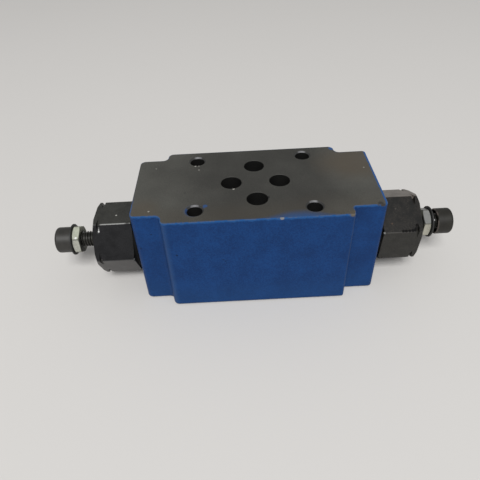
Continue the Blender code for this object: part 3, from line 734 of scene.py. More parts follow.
@dataclass(frozen=True)
class PlugSteel:
    """Blackened hexagon steel: each flat painted lighter or darker for how it is lit, its long edges rubbed
    bright in places, with painted shade on the collar and along the lowest corner.

    The flats are told apart by their side of two planes through the cartridge's axis.
    """

    name: str
    # Painted light and shade: the top, front and low flats are one steel, each coloured lighter or darker for
    # how it faces the light.
    top: Colour
    front: Colour
    low: Colour
    corner: float
    worn: Colour
    worn_corner: float
    worn_share: float
    pits: Colour
    pit_share: float
    roughness: float = 0.33
    depth: float = 0.010 * MM
    grain: float = 0.55 * MM
    corner_radius: float = 13.86 * MM
    axis_height: float = AXIS_HEIGHT
    edge_start: float = 13.69 * MM
    edge_end: float = 13.76 * MM
    middle: float = MIDDLE
    collar_end: float = 46.1 * MM
    rub_end: float = 58.0 * MM
    face: float = 60.6 * MM
    soft: float = 0.2 * MM
    face_colour: Colour = (0.022, 0.022, 0.021)
    # Black for painted shade, also used for the real smears.
    shade_and_smear_black: Colour = (0.003, 0.003, 0.003)
    marks: tuple[Mark, ...] = ()
    smears: tuple[Mark, ...] = ()

    def build(self) -> bpy.types.Material:
        """Makes the material."""
        recipe = Recipe(self.name, metallic=0.1, specular=0.22)
        grain = recipe.noise(self.grain, 3.0, 0.6)
        fine = recipe.noise(self.grain / 3, 2.0, 0.6)
        patch = recipe.noise(self.grain * 7, 3.0, 0.6)
        height = recipe.z - self.axis_height
        # Painted light and shade: each flat gets its own lit or shaded colour.
        above = recipe.beyond(self.corner, self.axis_height).ease(-self.soft, self.soft)
        below = recipe.beyond(self.corner + pi / 3, self.axis_height).ease(self.soft, -self.soft)
        colour = recipe.mix(above, self.front, self.top)
        colour = recipe.mix(below, colour, self.low)
        along = (recipe.x - self.middle).size()
        on_face = along.ease(self.face - 0.15 * MM, self.face - 0.05 * MM)
        colour = recipe.mix(on_face, colour, self.face_colour)
        tone = (grain * 0.5 + patch * 0.5 + fine * 0.2 - 0.1).ease(0.25, 0.75)
        colour = recipe.scaled(colour, tone * 0.7 + 0.62)
        middle = (1.0 - above) * (1.0 - below)
        pitted = fine.ease(0.50, 0.66) * patch.ease(0.36, 0.56) * middle * self.pit_share
        colour = recipe.mix(pitted, colour, self.pits)
        radius = recipe.from_axis(self.axis_height) + (fine - 0.5) * (0.15 * MM)
        edge = radius.ease(self.edge_start, self.edge_end)
        line = (height - self.corner_radius * cos(self.worn_corner)).size().ease(1.2 * MM, 0.4 * MM)
        broken = patch.ease(0.30, 0.50) * along.ease(self.rub_end, self.rub_end - 1.0 * MM)
        rubbed = edge * (line * self.worn_share * broken + 0.10) * recipe.y.ease(0.5 * MM, -0.5 * MM)
        colour = recipe.mix(rubbed, colour, self.worn)
        # Painted shade: a dark line along the lowest corner of the hexagon.
        foot = (height - self.corner_radius * cos(self.corner + tau / 3)).size().ease(1.2 * MM, 0.4 * MM)
        colour = recipe.mix(edge * foot * 0.9, colour, self.shade_and_smear_black)
        # Painted shade on the collar between the hexagon and the body; the smears, which are real dirt, are
        # laid in the same black.
        collar = along.ease(self.collar_end + 0.1 * MM, self.collar_end - 0.1 * MM)
        rough = collar.most(recipe.coverage(self.smears, fine)) if self.smears else collar
        colour = recipe.mix(rough, colour, self.shade_and_smear_black)
        colour = recipe.marks(colour, self.marks, fine)
        recipe.bump(grain * 0.5 + fine * 0.5, self.depth)
        return recipe.finish(colour, self.roughness + (fine - 0.5) * 0.14 + rough * 0.5)


@dataclass(frozen=True)
class ZincPlate:
    """Zinc on a lock nut: its two lit flats painted lighter and darker for how they are lit, painted shade
    along the corners, spots, painted shade on the inner face and an optional painted glint.
    """

    name: str
    # Painted light and shade: one zinc, given a lit or shaded colour for the upper and the lower facet.
    upper: Colour
    lower: Colour
    corner: float
    inner_face: float
    # Painted shade colours for the inner face, its lighter and its darkest part.
    inner_face_shade: Colour = (0.150, 0.155, 0.115)
    shaded: Colour = (0.020, 0.020, 0.017)
    # Painted shade colour for the lines along the corners.
    line: Colour = (0.110, 0.110, 0.095)
    spot: Colour = (0.24, 0.24, 0.19)
    glint: Mark | None = None
    axis_height: float = AXIS_HEIGHT
    line_start: float = 5.58 * MM
    line_end: float = 5.68 * MM
    grain: float = 0.45 * MM

    def build(self) -> bpy.types.Material:
        """Makes the material."""
        recipe = Recipe(self.name, metallic=0.5)
        grain = recipe.noise(self.grain, 3.0, 0.6)
        fine = recipe.noise(self.grain / 3, 2.0, 0.6)
        patch = recipe.noise(self.grain * 5, 2.0)
        # Painted light and shade: the upper and the lower facet each get their own colour.
        above = recipe.beyond(self.corner, self.axis_height).ease(-0.1 * MM, 0.1 * MM)
        colour = recipe.mix(above, self.lower, self.upper)
        tone = (grain * 0.5 + patch * 0.5).ease(0.25, 0.75)
        colour = recipe.scaled(colour, tone * 0.34 + 0.83)
        colour = recipe.mix(fine.ease(0.62, 0.70) * patch.ease(0.35, 0.60), colour, self.spot)
        # Painted shade: dark lines along the hexagon's corners.
        radius = recipe.from_axis(self.axis_height) + (fine - 0.5) * (0.1 * MM)
        colour = recipe.mix(radius.ease(self.line_start, self.line_end) * 0.75, colour, self.line)
        # Painted shade on the inner face that looks toward the plug, darkest on its near side.
        face = (recipe.x - self.inner_face).size().ease(0.45 * MM, 0.15 * MM)
        near = recipe.y.ease(-0.3 * MM, -2.6 * MM)
        colour = recipe.mix(face * 0.9, colour, recipe.mix(near, self.inner_face_shade, self.shaded))
        if self.glint:
            colour = recipe.marks(colour, (self.glint,), fine)
        recipe.bump(grain * 0.6 + fine * 0.4, 0.006 * MM)
        return recipe.finish(colour, 0.42 + (fine - 0.5) * 0.12)


@dataclass(frozen=True)
class Moulded:
    """Moulded plastic or rubber: an even dark tone with a fine matt skin, with an optional painted highlight
    along the lip and optional marks.
    """

    name: str
    dark: Colour
    pale: Colour
    roughness: float
    grain: float = 0.3 * MM
    depth: float = 0.008 * MM
    coat: float = 0.0
    coat_roughness: float = 0.12
    specular: float = 0.5
    lip: float | None = None
    lip_highlight: Colour = (0.115, 0.095, 0.085)
    marks: tuple[Mark, ...] = ()

    def build(self) -> bpy.types.Material:
        """Makes the material."""
        recipe = Recipe(self.name, specular=self.specular)
        recipe.shader.inputs["Coat Weight"].default_value = self.coat
        recipe.shader.inputs["Coat Roughness"].default_value = self.coat_roughness
        grain = recipe.noise(self.grain, 2.0)
        patch = recipe.noise(self.grain * 8, 2.0)
        colour = recipe.mix((grain * 0.5 + patch * 0.5).ease(0.3, 0.7), self.dark, self.pale)
        # Painted highlight: a pale line along the cap's lip.
        if self.lip is not None:
            line = (recipe.x - self.lip).size().ease(0.4 * MM, 0.15 * MM) * patch.ease(0.30, 0.60)
            colour = recipe.mix(line * 0.8, colour, self.lip_highlight)
        colour = recipe.marks(colour, self.marks, grain)
        recipe.bump(grain, self.depth)
        return recipe.finish(colour, self.roughness + (grain - 0.5) * 0.12)


class Palette:
    """Every finish of the valve, each made once."""

    def __init__(self) -> None:
        """Makes the materials."""
        self.paint = SprayedPaint().build()
        self.ground = GroundIron().build()
        self.bore = MachinedMetal(
            "dark_bore", (0.003, 0.003, 0.003), (0.007, 0.007, 0.006), metallic=0.1, specular=0.25,
            roughness=0.75,
        ).build()
        # Painted highlights: pale crescents on the far side of each bolt hole's chamfer, where it catches the
        # light.
        chamfer_highlights = tuple(
            Mark((x, y + 2.95, 39.8), 1.75, (0.13, 0.13, 0.135), 0.9, 0.25)
            for x, y in ((-20.3, -15.5), (-20.0, 15.5), (20.1, -16.25), (20.4, 16.25))
        )
        haze = Mark((-23.2, -15.9, 39.8), 2.2, (0.016, 0.055, 0.17), 0.8, 0.2)
        self.chamfer = MachinedMetal(
            "cut_chamfer", (0.030, 0.030, 0.030), (0.055, 0.055, 0.052), metallic=0.1, specular=0.3,
            roughness=0.5, marks=(*chamfer_highlights, haze),
        ).build()
        # Lit and shaded copies of one blackened steel: each end's flats are painted lighter or darker for how
        # they face the light.
        self.black_steel = {
            End.LEFT: PlugSteel(
                "left_plug_steel",
                top=(0.036, 0.036, 0.032), front=(0.011, 0.011, 0.012), low=(0.048, 0.046, 0.045),
                corner=PLUG_CORNER[End.LEFT], worn=(0.30, 0.30, 0.29), worn_corner=radians(29),
                worn_share=0.70, pits=(0.026, 0.026, 0.027), pit_share=0.7,
                marks=(
                    Mark((-51.2, -1.6, 29.0), 0.42, (0.42, 0.41, 0.38)),
                    # Painted highlights: a glint streak in the rim groove, then a glint on the hexagon's
                    # inner chamfer.
                    Mark((-56.95, -7.85, 26.75), 0.45, (0.55, 0.55, 0.54), 1.0, 0.2),
                    Mark((-56.95, -7.35, 27.2), 0.40, (0.40, 0.40, 0.39), 0.9, 0.2),
                    Mark((-56.95, -6.8, 27.6), 0.35, (0.25, 0.25, 0.24), 0.9, 0.2),
                    Mark((-45.3, -13.3, 17.2), 0.5, (0.30, 0.30, 0.29), 0.8),
                ),
            ).build(),
            End.RIGHT: PlugSteel(
                "right_plug_steel",
                top=(0.165, 0.147, 0.130), front=(0.005, 0.005, 0.0045), low=(0.030, 0.029, 0.026),
                corner=PLUG_CORNER[End.RIGHT], worn=(0.10, 0.095, 0.088), worn_corner=radians(65),
                worn_share=0.3, pits=(0.040, 0.033, 0.027), pit_share=0.95, roughness=0.45,
                depth=0.020 * MM,
                marks=(
                    # Painted highlight: a glint on the hexagon's inner chamfer; then a rust spot and two dull
                    # spots.
                    Mark((47.6, -12.15, 22.7), 0.5, (0.40, 0.40, 0.38)),
                    Mark((50.7, -9.5, 24.6), 0.55, (0.085, 0.048, 0.030), 0.6),
                    Mark((55.4, -6.5, 27.5), 0.40, (0.12, 0.11, 0.10), 0.5),
                    Mark((52.6, -5.2, 28.3), 0.45, (0.08, 0.07, 0.06), 0.5),
                ),
                smears=tuple(
                    Mark((x, y, z), radius, (1.0, 1.0, 1.0), 0.9, 0.35)
                    for x, y, z, radius in (
                        (54.4, -12.2, 23.2, 0.7), (55.5, -12.2, 23.2, 0.75), (56.7, -12.2, 23.2, 0.75),
                        (57.9, -12.2, 23.3, 0.8), (59.0, -12.1, 23.5, 0.9), (59.8, -11.6, 23.8, 1.1),
                        (59.7, -10.6, 24.3, 0.8),
                    )
                ),
            ).build(),
        }
        self.thread = MachinedMetal(
            "oiled_thread", (0.024, 0.024, 0.022), (0.075, 0.073, 0.066), metallic=0.6, roughness=0.40,
            grain=0.35 * MM,
        ).build()
        # Lit and shaded copies of one zinc: each nut's facets painted lighter or darker for how they are lit,
        # with a painted glint on the left nut.
        self.zinc = {
            End.LEFT: ZincPlate(
                "left_zinc_plate", upper=(0.51, 0.53, 0.43), lower=(0.44, 0.445, 0.39),
                corner=NUT_CORNER[End.LEFT], inner_face=-66.76 * MM,
                glint=Mark((-68.1, -3.85, 20.8), 0.55, (0.95, 0.95, 0.92), 1.0, 0.3),
            ).build(),
            End.RIGHT: ZincPlate(
                "right_zinc_plate", upper=(0.216, 0.22, 0.212), lower=(0.43, 0.42, 0.355),
                corner=NUT_CORNER[End.RIGHT], inner_face=65.26 * MM,
            ).build(),
        }
        self.washer = Moulded("matt_black_washer", (0.010, 0.010, 0.010), (0.019, 0.019, 0.018), 0.55).build()
        # Painted highlight: a glint shared by the right cap and the ring behind it.
        glint = Mark((69.95, -2.85, 19.9), 0.42, (0.60, 0.60, 0.60), 1.0, 0.1)
        # The right cap is a darker copy of the left one, for painted shade, with a painted highlight along
        # its lip and the glint.
        self.cap = {
            End.LEFT: Moulded("left_moulded_cap", (0.017, 0.016, 0.014), (0.028, 0.026, 0.023), 0.45).build(),
            End.RIGHT: Moulded(
                "right_cap_shade_and_glints", (0.011, 0.010, 0.008), (0.019, 0.018, 0.014), 0.50, specular=0.35,
                lip=71.0 * MM, marks=(glint,),
            ).build(),
        }
        self.cap_ring = Moulded(
            "wet_rubber", (0.007, 0.007, 0.007), (0.012, 0.012, 0.012), 0.22, coat=0.5, marks=(glint,)
        ).build()
        self.seal = Moulded("seal_rubber", (0.010, 0.010, 0.010), (0.018, 0.018, 0.018), 0.45).build()
        self.hardened = MachinedMetal(
            "hardened_steel", (0.42, 0.42, 0.40), (0.58, 0.58, 0.56), roughness=0.25, grain=0.25 * MM
        ).build()
        self.spring = MachinedMetal(
            "spring_steel", (0.26, 0.26, 0.27), (0.38, 0.38, 0.39), roughness=0.33, grain=0.3 * MM
        ).build()


class Piece(NamedTuple):
    """A finished piece with what it rides on and stands for."""

    shape: bpy.types.Object
    body: str
    node: str
    slot: str


# Sub-assemblies


@dataclass(frozen=True)
class ValveBody:
    """The cast plate: its stepped outline, ground faces, ports, bolt holes, oil ways and cartridge bores."""

    middle: float = MIDDLE
    length: float = PLATE_LENGTH
    width: float = PLATE_WIDTH
    height: float = PLATE_HEIGHT
    neck_setback: float = 4.45 * MM
    left_neck: float = 10.5 * MM
    right_neck: float = 11.75 * MM
    step_radius: float = 2.1 * MM
    crisp_radius: float = 0.9 * MM
    left_radius: float = 2.0 * MM
    right_radius: float = 1.3 * MM
    top_rim: float = 0.28 * MM
    bottom_rim: float = 0.85 * MM
    axis_height: float = AXIS_HEIGHT
    bolt_x: float = 20.25 * MM
    left_bolt_y: float = 15.5 * MM
    right_bolt_y: float = 16.25 * MM
    bolt_bore: float = 5.4 * MM
    bolt_chamfer: float = 0.5 * MM
    port_bore: float = 7.5 * MM
    port_rim: float = 0.15 * MM
    port_y: float = 10.4 * MM
    left_port_x: float = -7.55 * MM
    right_port_x: float = 9.95 * MM
    blind_depth: float = 9.0 * MM
    recess_bore: float = 12.8 * MM
    recess_depth: float = 1.4 * MM
    chamber_start: float = 5.5 * MM
    cartridge_bore: float = 17.0 * MM
    thread_bore: float = 20.4 * MM
    thread_depth: float = 14.5 * MM
    mouth_bore: float = 22.2 * MM
    mouth_depth: float = MOUTH_DEPTH
    groove_bore: float = 20.0 * MM
    groove_width: float = 4.0 * MM
    groove_from_thread: float = 1.75 * MM
    passage_bore: float = 5.6 * MM
    passage_start: float = 34.0 * MM
    passage_over_axis: float = 11.0 * MM
    skin_depth: float = 2.5 * MM
    upright_steps: int = 10
    overrun: float = 1.0 * MM

    @property
    def bolt_places(self) -> list[tuple[float, float]]:
        """Where the four bolt holes are."""
        columns = ((-self.bolt_x, self.left_bolt_y), (self.bolt_x, self.right_bolt_y))
        return [(x, row * y) for x, y in columns for row in (-1, 1)]

    @property
    def groove(self) -> tuple[float, float]:
        """The inner and the outer flank of the oil groove, outward from the body's middle."""
        outer = self.length / 2 - self.thread_depth - self.groove_from_thread
        return outer - self.groove_width, outer

    @property
    def side(self) -> float:
        """Half the plate's width."""
        return self.width / 2

    @property
    def neck(self) -> float:
        """Half the width of the necks."""
        return self.side - self.neck_setback

    def steps(self, end: End) -> tuple[float, float]:
        """Where an end face and the step behind it lie along X."""
        face = self.middle + end.value * self.length / 2
        return face, face - end.value * (self.left_neck if end is End.LEFT else self.right_neck)

    def build(self, bench: Bench, palette: Palette) -> Piece:
        """Models the plate.

        Args:
            bench: The tools.
            palette: The finishes.

        Returns:
            The body, with a slot of Skin on each face.
        """
        left, left_step = self.steps(End.LEFT)
        right, right_step = self.steps(End.RIGHT)
        body = bench.block("painted_valve_body", (left, -self.side, 0.0), (right, self.side, self.height))
        for end, face, step in ((End.LEFT, left, left_step), (End.RIGHT, right, right_step)):
            past = face + end.value * self.overrun
            for row in (-1, 1):
                corner = bench.block(
                    "neck_corner",
                    (min(past, step), min(row * self.neck, row * (self.side + self.overrun)), -self.overrun),
                    (max(past, step), max(row * self.neck, row * (self.side + self.overrun)),
                     self.height + self.overrun),
                )
                bench.combine(body, corner)
        self.round_uprights(bench, body)
        self.round_rims(bench, body)
        self.cut_holes(bench, body)
        bench.coat(body, palette.paint, palette.ground, palette.bore, palette.chamfer)
        self.mark_skins(body)
        bench.smooth(body)
        return Piece(body, "root", "valve_body", "body_paint")

    def round_uprights(self, bench: Bench, body: bpy.types.Object) -> None:
        """Gives each upright edge its own radius, near and far."""
        left, left_step = self.steps(End.LEFT)
        right, right_step = self.steps(End.RIGHT)
        corners = [
            (left, self.left_radius, self.left_radius, self.neck),
            (right, self.right_radius, self.right_radius, self.neck),
            (left_step, self.step_radius, self.step_radius, None),
            (right_step, self.crisp_radius, self.step_radius, None),
        ]
        for x, near, far, y in corners:
            for row, radius in ((-1, near), (1, far)):
                def upright(ends: list[Vector]) -> bool:
                    """Whether an edge stands at this corner."""
                    low, high = ends
                    stands = abs(low.z - high.z) > self.height / 2
                    return stands and abs(low.x - x) < NEAR and low.y * row > 0 and (
                        y is None or abs(abs(low.y) - y) < NEAR
                    )
                bench.bevel(body, radius, self.upright_steps, upright)

    def round_rims(self, bench: Bench, body: bpy.types.Object) -> None:
        """Breaks the top and the bottom rim."""
        for level, width, segments in ((self.height, self.top_rim, 2), (0.0, self.bottom_rim, 4)):
            def rim(ends: list[Vector]) -> bool:
                """Whether an edge lies in this level."""
                return all(abs(end.z - level) < IN_LEVEL for end in ends)
            bench.bevel(body, width, segments, rim)

    def cut_holes(self, bench: Bench, body: bpy.types.Object) -> None:
        """Cuts the bolt holes, the four ports, the oil ways and the cartridge bores."""
        top = self.height
        bolt = self.bolt_bore / 2
        wide = bolt + self.bolt_chamfer
        bolts = [
            Station(bolt, -self.overrun), Station(bolt, top - self.bolt_chamfer), Station(wide, top),
            Station(wide, top + self.overrun),
        ]
        port = self.port_bore / 2
        foot = [
            Station(self.recess_bore / 2, -self.overrun), Station(self.recess_bore / 2, self.recess_depth),
            Station(port, self.recess_depth),
        ]
        head = [
            Station(port, top - self.port_rim), Station(port + self.port_rim, top),
            Station(port + self.port_rim, top + self.overrun),
        ]
        tools = [("bolt_hole", bolts, x, y) for x, y in self.bolt_places]
        tools += [
            ("port_p", foot + head, self.middle, self.port_y),
            ("port_t", foot + head, self.middle, -self.port_y),
        ]
        for x in (self.left_port_x, self.right_port_x):
            tools.append(("upper_port", [Station(port, top - self.blind_depth), *head], x, 0.0))
            tools.append(("lower_port", [*foot, Station(port, self.axis_height)], x, 0.0))
        for name, stations, x, y in tools:
            tool = bench.turned(name, stations)
            bench.place(tool, Matrix.Translation((x, y, 0.0)))
            bench.combine(body, tool)
        for end, x in ((End.LEFT, self.left_port_x), (End.RIGHT, self.right_port_x)):
            passage = bench.drill(
                "cored_passage",
                (x, 0.0, self.passage_start),
                (
                    self.middle + end.value * sum(self.groove) / 2, 0.0,
                    self.axis_height + self.passage_over_axis,
                ),
                self.passage_bore,
                PASSAGE_STEPS,
            )
            bench.combine(body, passage)
            bore = bench.turned("cartridge_bore", self.bore_stations())
            bench.place(bore, axis_of(end, self.middle, self.axis_height))
            bench.combine(body, bore)

    def bore_stations(self) -> list[Station]:
        """The stepped bore that takes a cartridge, from its floor to its mouth."""
        end = self.length / 2
        thread_floor = end - self.thread_depth
        inner, outer = self.groove
        mouth = end - self.mouth_depth
        bore, groove = self.cartridge_bore / 2, self.groove_bore / 2
        thread, rim = self.thread_bore / 2, self.mouth_bore / 2
        return [
            Station(bore, self.chamber_start), Station(bore, inner), Station(groove, inner),
            Station(groove, outer), Station(bore, outer), Station(bore, thread_floor),
            Station(thread, thread_floor), Station(thread, mouth), Station(rim, mouth),
            Station(rim, end + self.overrun),
        ]

    def mark_skins(self, body: bpy.types.Object) -> None:
        """Gives every face its material slot, from where it lies and where it looks."""
        left, _ = self.steps(End.LEFT)
        right, _ = self.steps(End.RIGHT)
        holes = [
            *self.bolt_places, (self.middle, self.port_y), (self.middle, -self.port_y),
            (self.left_port_x, 0.0), (self.right_port_x, 0.0),
        ]
        for face in body.data.polygons:
            centre, normal = face.center, face.normal
            level = abs(normal.z) > LEVEL_NORMAL
            outer_level = level and min(abs(centre.z), abs(centre.z - self.height)) < IN_LEVEL
            in_hole = any(
                (Vector((x, y)) - centre.xy).length < self.recess_bore / 2 + NEAR for x, y in holes
            )
            in_bore = (
                Vector((centre.y, centre.z - self.axis_height)).length < self.mouth_bore / 2 + NEAR
                and left + NEAR < centre.x < right - NEAR
            )
            skin = Skin.PAINT
            if outer_level:
                skin = Skin.GROUND
            elif in_hole and normal.z > CHAMFER_NORMAL and centre.z > self.height - self.bolt_chamfer:
                skin = Skin.CHAMFER if abs(abs(centre.x) - self.bolt_x) < self.bolt_bore else Skin.GROUND
            elif in_hole or in_bore or self.inside(centre):
                skin = Skin.BORE
            face.material_index = skin.value

    def inside(self, centre: Vector) -> bool:
        """Whether a point lies well inside the plate's outline."""
        left, _ = self.steps(End.LEFT)
        right, _ = self.steps(End.RIGHT)
        deep = self.skin_depth
        return left + deep < centre.x < right - deep and abs(centre.y) < self.neck - deep and (
            NEAR < centre.z < self.height - NEAR
        )


@dataclass(frozen=True)
class PortSeals:
    """The four rubber rings in the recesses of the bottom face.

    The cord is drawn thinner than the real 1.78 mm, so that it stays inside the box of the solids.
    """

    bore: float = 9.0 * MM
    cord: float = 1.66 * MM
    clearance: float = 0.1 * MM

    def build(self, bench: Bench, body: ValveBody, palette: Palette) -> list[Piece]:
        """Makes a ring for each port.

        Args:
            bench: The tools.
            body: The plate that the rings lie in.
            palette: The finishes.

        Returns:
            The four rings.
        """
        places = {
            "p": (body.middle, body.port_y), "t": (body.middle, -body.port_y),
            "a": (body.left_port_x, 0.0), "b": (body.right_port_x, 0.0),
        }
        height = body.recess_depth - self.clearance - self.cord / 2
        pieces = []
        for port, (x, y) in places.items():
            ring = o_ring(bench, f"port_ring_{port}", (self.bore + self.cord) / 2, self.cord, height)
            bench.place(ring, Matrix.Translation((x, y, 0.0)))
            bench.coat(ring, palette.seal)
            bench.smooth(ring)
            pieces.append(Piece(ring, "root", f"port_seal_{port}", "seal_rubber"))
        return pieces


def axis_of(end: End, middle: float, height: float) -> Matrix:
    """The frame of a cartridge: its Z runs outward along the valve's axis."""
    turn = Matrix.Rotation(end.value * pi / 2, 4, "Y")
    return Matrix.Translation((middle, 0.0, height)) @ turn


def o_ring(bench: Bench, name: str, radius: float, cord: float, height: float) -> bpy.types.Object:
    """A round-section ring about Z."""
    section = [index * tau / CORD_STEPS for index in range(CORD_STEPS)]
    stations = [Station(radius + cord / 2 * cos(turn), height + cord / 2 * sin(turn)) for turn in section]
    return bench.turned(name, stations, ROUND_STEPS, hollow=True)


@dataclass(frozen=True)
class MetricThread:
    """A right-hand metric thread whose turns start at whole pitches, so screw and plug keep in step."""

    diameter: float = 6.0 * MM
    pitch: float = 1.0 * MM
    root: float = 2.40 * MM
    crest_width: float = 0.16 * MM
    play: float = 0.05 * MM
    crest_room: float = 0.08 * MM
    root_room: float = 0.03 * MM
    sunk: float = 0.05 * MM

    def corners(self, crest: float, root: float, play: float) -> list[Station]:
        """The ridge's section between two radii, wider by some play."""
        def half(radius: float) -> float:
            """Half the ridge's width at a radius."""
            return self.crest_width / 2 + (self.diameter / 2 - radius) * FLANK_SLOPE + play
        return [
            Station(root, -half(root)), Station(crest, -half(crest)), Station(crest, half(crest)),
            Station(root, half(root)),
        ]

    def ridge(self, bench: Bench, low: float, high: float, female: bool = False) -> bpy.types.Object:
        """Winds the ridge over a length.

        Args:
            bench: The tools.
            low: Where the thread starts.
            high: Where it ends.
            female: Makes the cutter for a nut or a plug, slightly wider, instead of the screw's ridge.

        Returns:
            The ridge, whose turns start at whole pitches.
        """
        start = (ceil(low / self.pitch) - 1) * self.pitch
        turns = ceil((high - start) / self.pitch) + 1
        if female:
            corners = self.corners(self.diameter / 2 + self.crest_room, self.root + self.root_room, self.play)
        else:
            corners = self.corners(self.diameter / 2, self.root - self.sunk, 0.0)
        return bench.thread("thread_ridge", corners, self.pitch, start, turns)


@dataclass(frozen=True)
class PlugSizes:
    """An end plug: radii, lengths, and places outward from the body's middle."""

    body_end: float = PLATE_LENGTH / 2
    seat_gap: float = 0.3 * MM
    collar: float = 11.6 * MM
    collar_edge: float = 0.15 * MM
    collar_length: float = 2.3 * MM
    flats: float = 24.0 * MM
    bar_edge: float = 0.22 * MM
    bar_stock: float = 0.3 * MM
    face: float = 12.6 * MM
    back: float = 13.0 * MM
    rim: float = 12.5 * MM
    rim_from_face: float = 1.4 * MM
    rim_width: float = 1.4 * MM
    rim_flank: float = 0.35 * MM
    mouth_depth: float = MOUTH_DEPTH
    running_gap: float = 0.2 * MM
    undercut: float = 9.2 * MM
    shank: float = 10.0 * MM
    shank_edge: float = 0.8 * MM
    shank_start: float = 29.3 * MM
    nose: float = 6.8 * MM
    nose_bore: float = 6.0 * MM
    nose_depth: float = 8.0 * MM
    guide: float = 4.25 * MM
    guide_from_face: float = 5.2 * MM
    thread_room: float = 0.1 * MM
    thread_entry: float = 0.35 * MM
    window_bore: float = 4.5 * MM
    window_middle: float = 25.25 * MM
    window_reach: float = 8.0 * MM


@dataclass(frozen=True)
class ScrewSizes:
    """An adjusting screw: radii and lengths, from its button to its tip."""

    button: float = 2.6 * MM
    button_edge: float = 0.15 * MM
    button_thickness: float = 1.6 * MM
    neck: float = 1.6 * MM
    neck_length: float = 2.0 * MM
    stem: float = 4.0 * MM
    stem_edge: float = 0.2 * MM
    stem_length: float = 8.0 * MM
    groove: float = 2.9 * MM
    groove_start: float = 3.1 * MM
    groove_width: float = 1.8 * MM
    root_edge: float = 0.1 * MM
    thread_start: float = 0.5 * MM
    thread_full: float = 1.2 * MM
    tip_chamfer: float = 0.5 * MM
    socket_flats: float = 3.0 * MM
    socket_depth: float = 3.0 * MM


@dataclass(frozen=True)
class NutSizes:
    """A lock nut: its flats, chamfers and threaded mouth."""

    flats: float = 10.0 * MM
    bar_edge: float = 0.12 * MM
    bar_stock: float = 0.3 * MM
    face_share: float = 0.95
    thread_room: float = 0.06 * MM
    mouth: float = 3.40 * MM
    entry_share: float = 0.8


@dataclass(frozen=True)
class CapSizes:
    """A washer, the ring behind it and the protective cap, by their radii and lengths."""

    washer: float = 6.05 * MM
    washer_bore: float = 3.2 * MM
    washer_edge: float = 0.12 * MM
    ring: float = 3.6 * MM
    ring_cord: float = 1.0 * MM
    cap: float = 5.0 * MM
    cap_edge: float = 1.0 * MM
    cap_edge_steps: int = 8
    cap_end: float = 1.5 * MM
    bore: float = 3.35 * MM
    mouth_bore: float = 4.4 * MM
    mouth_depth: float = 1.9 * MM
    lip: float = 0.25 * MM


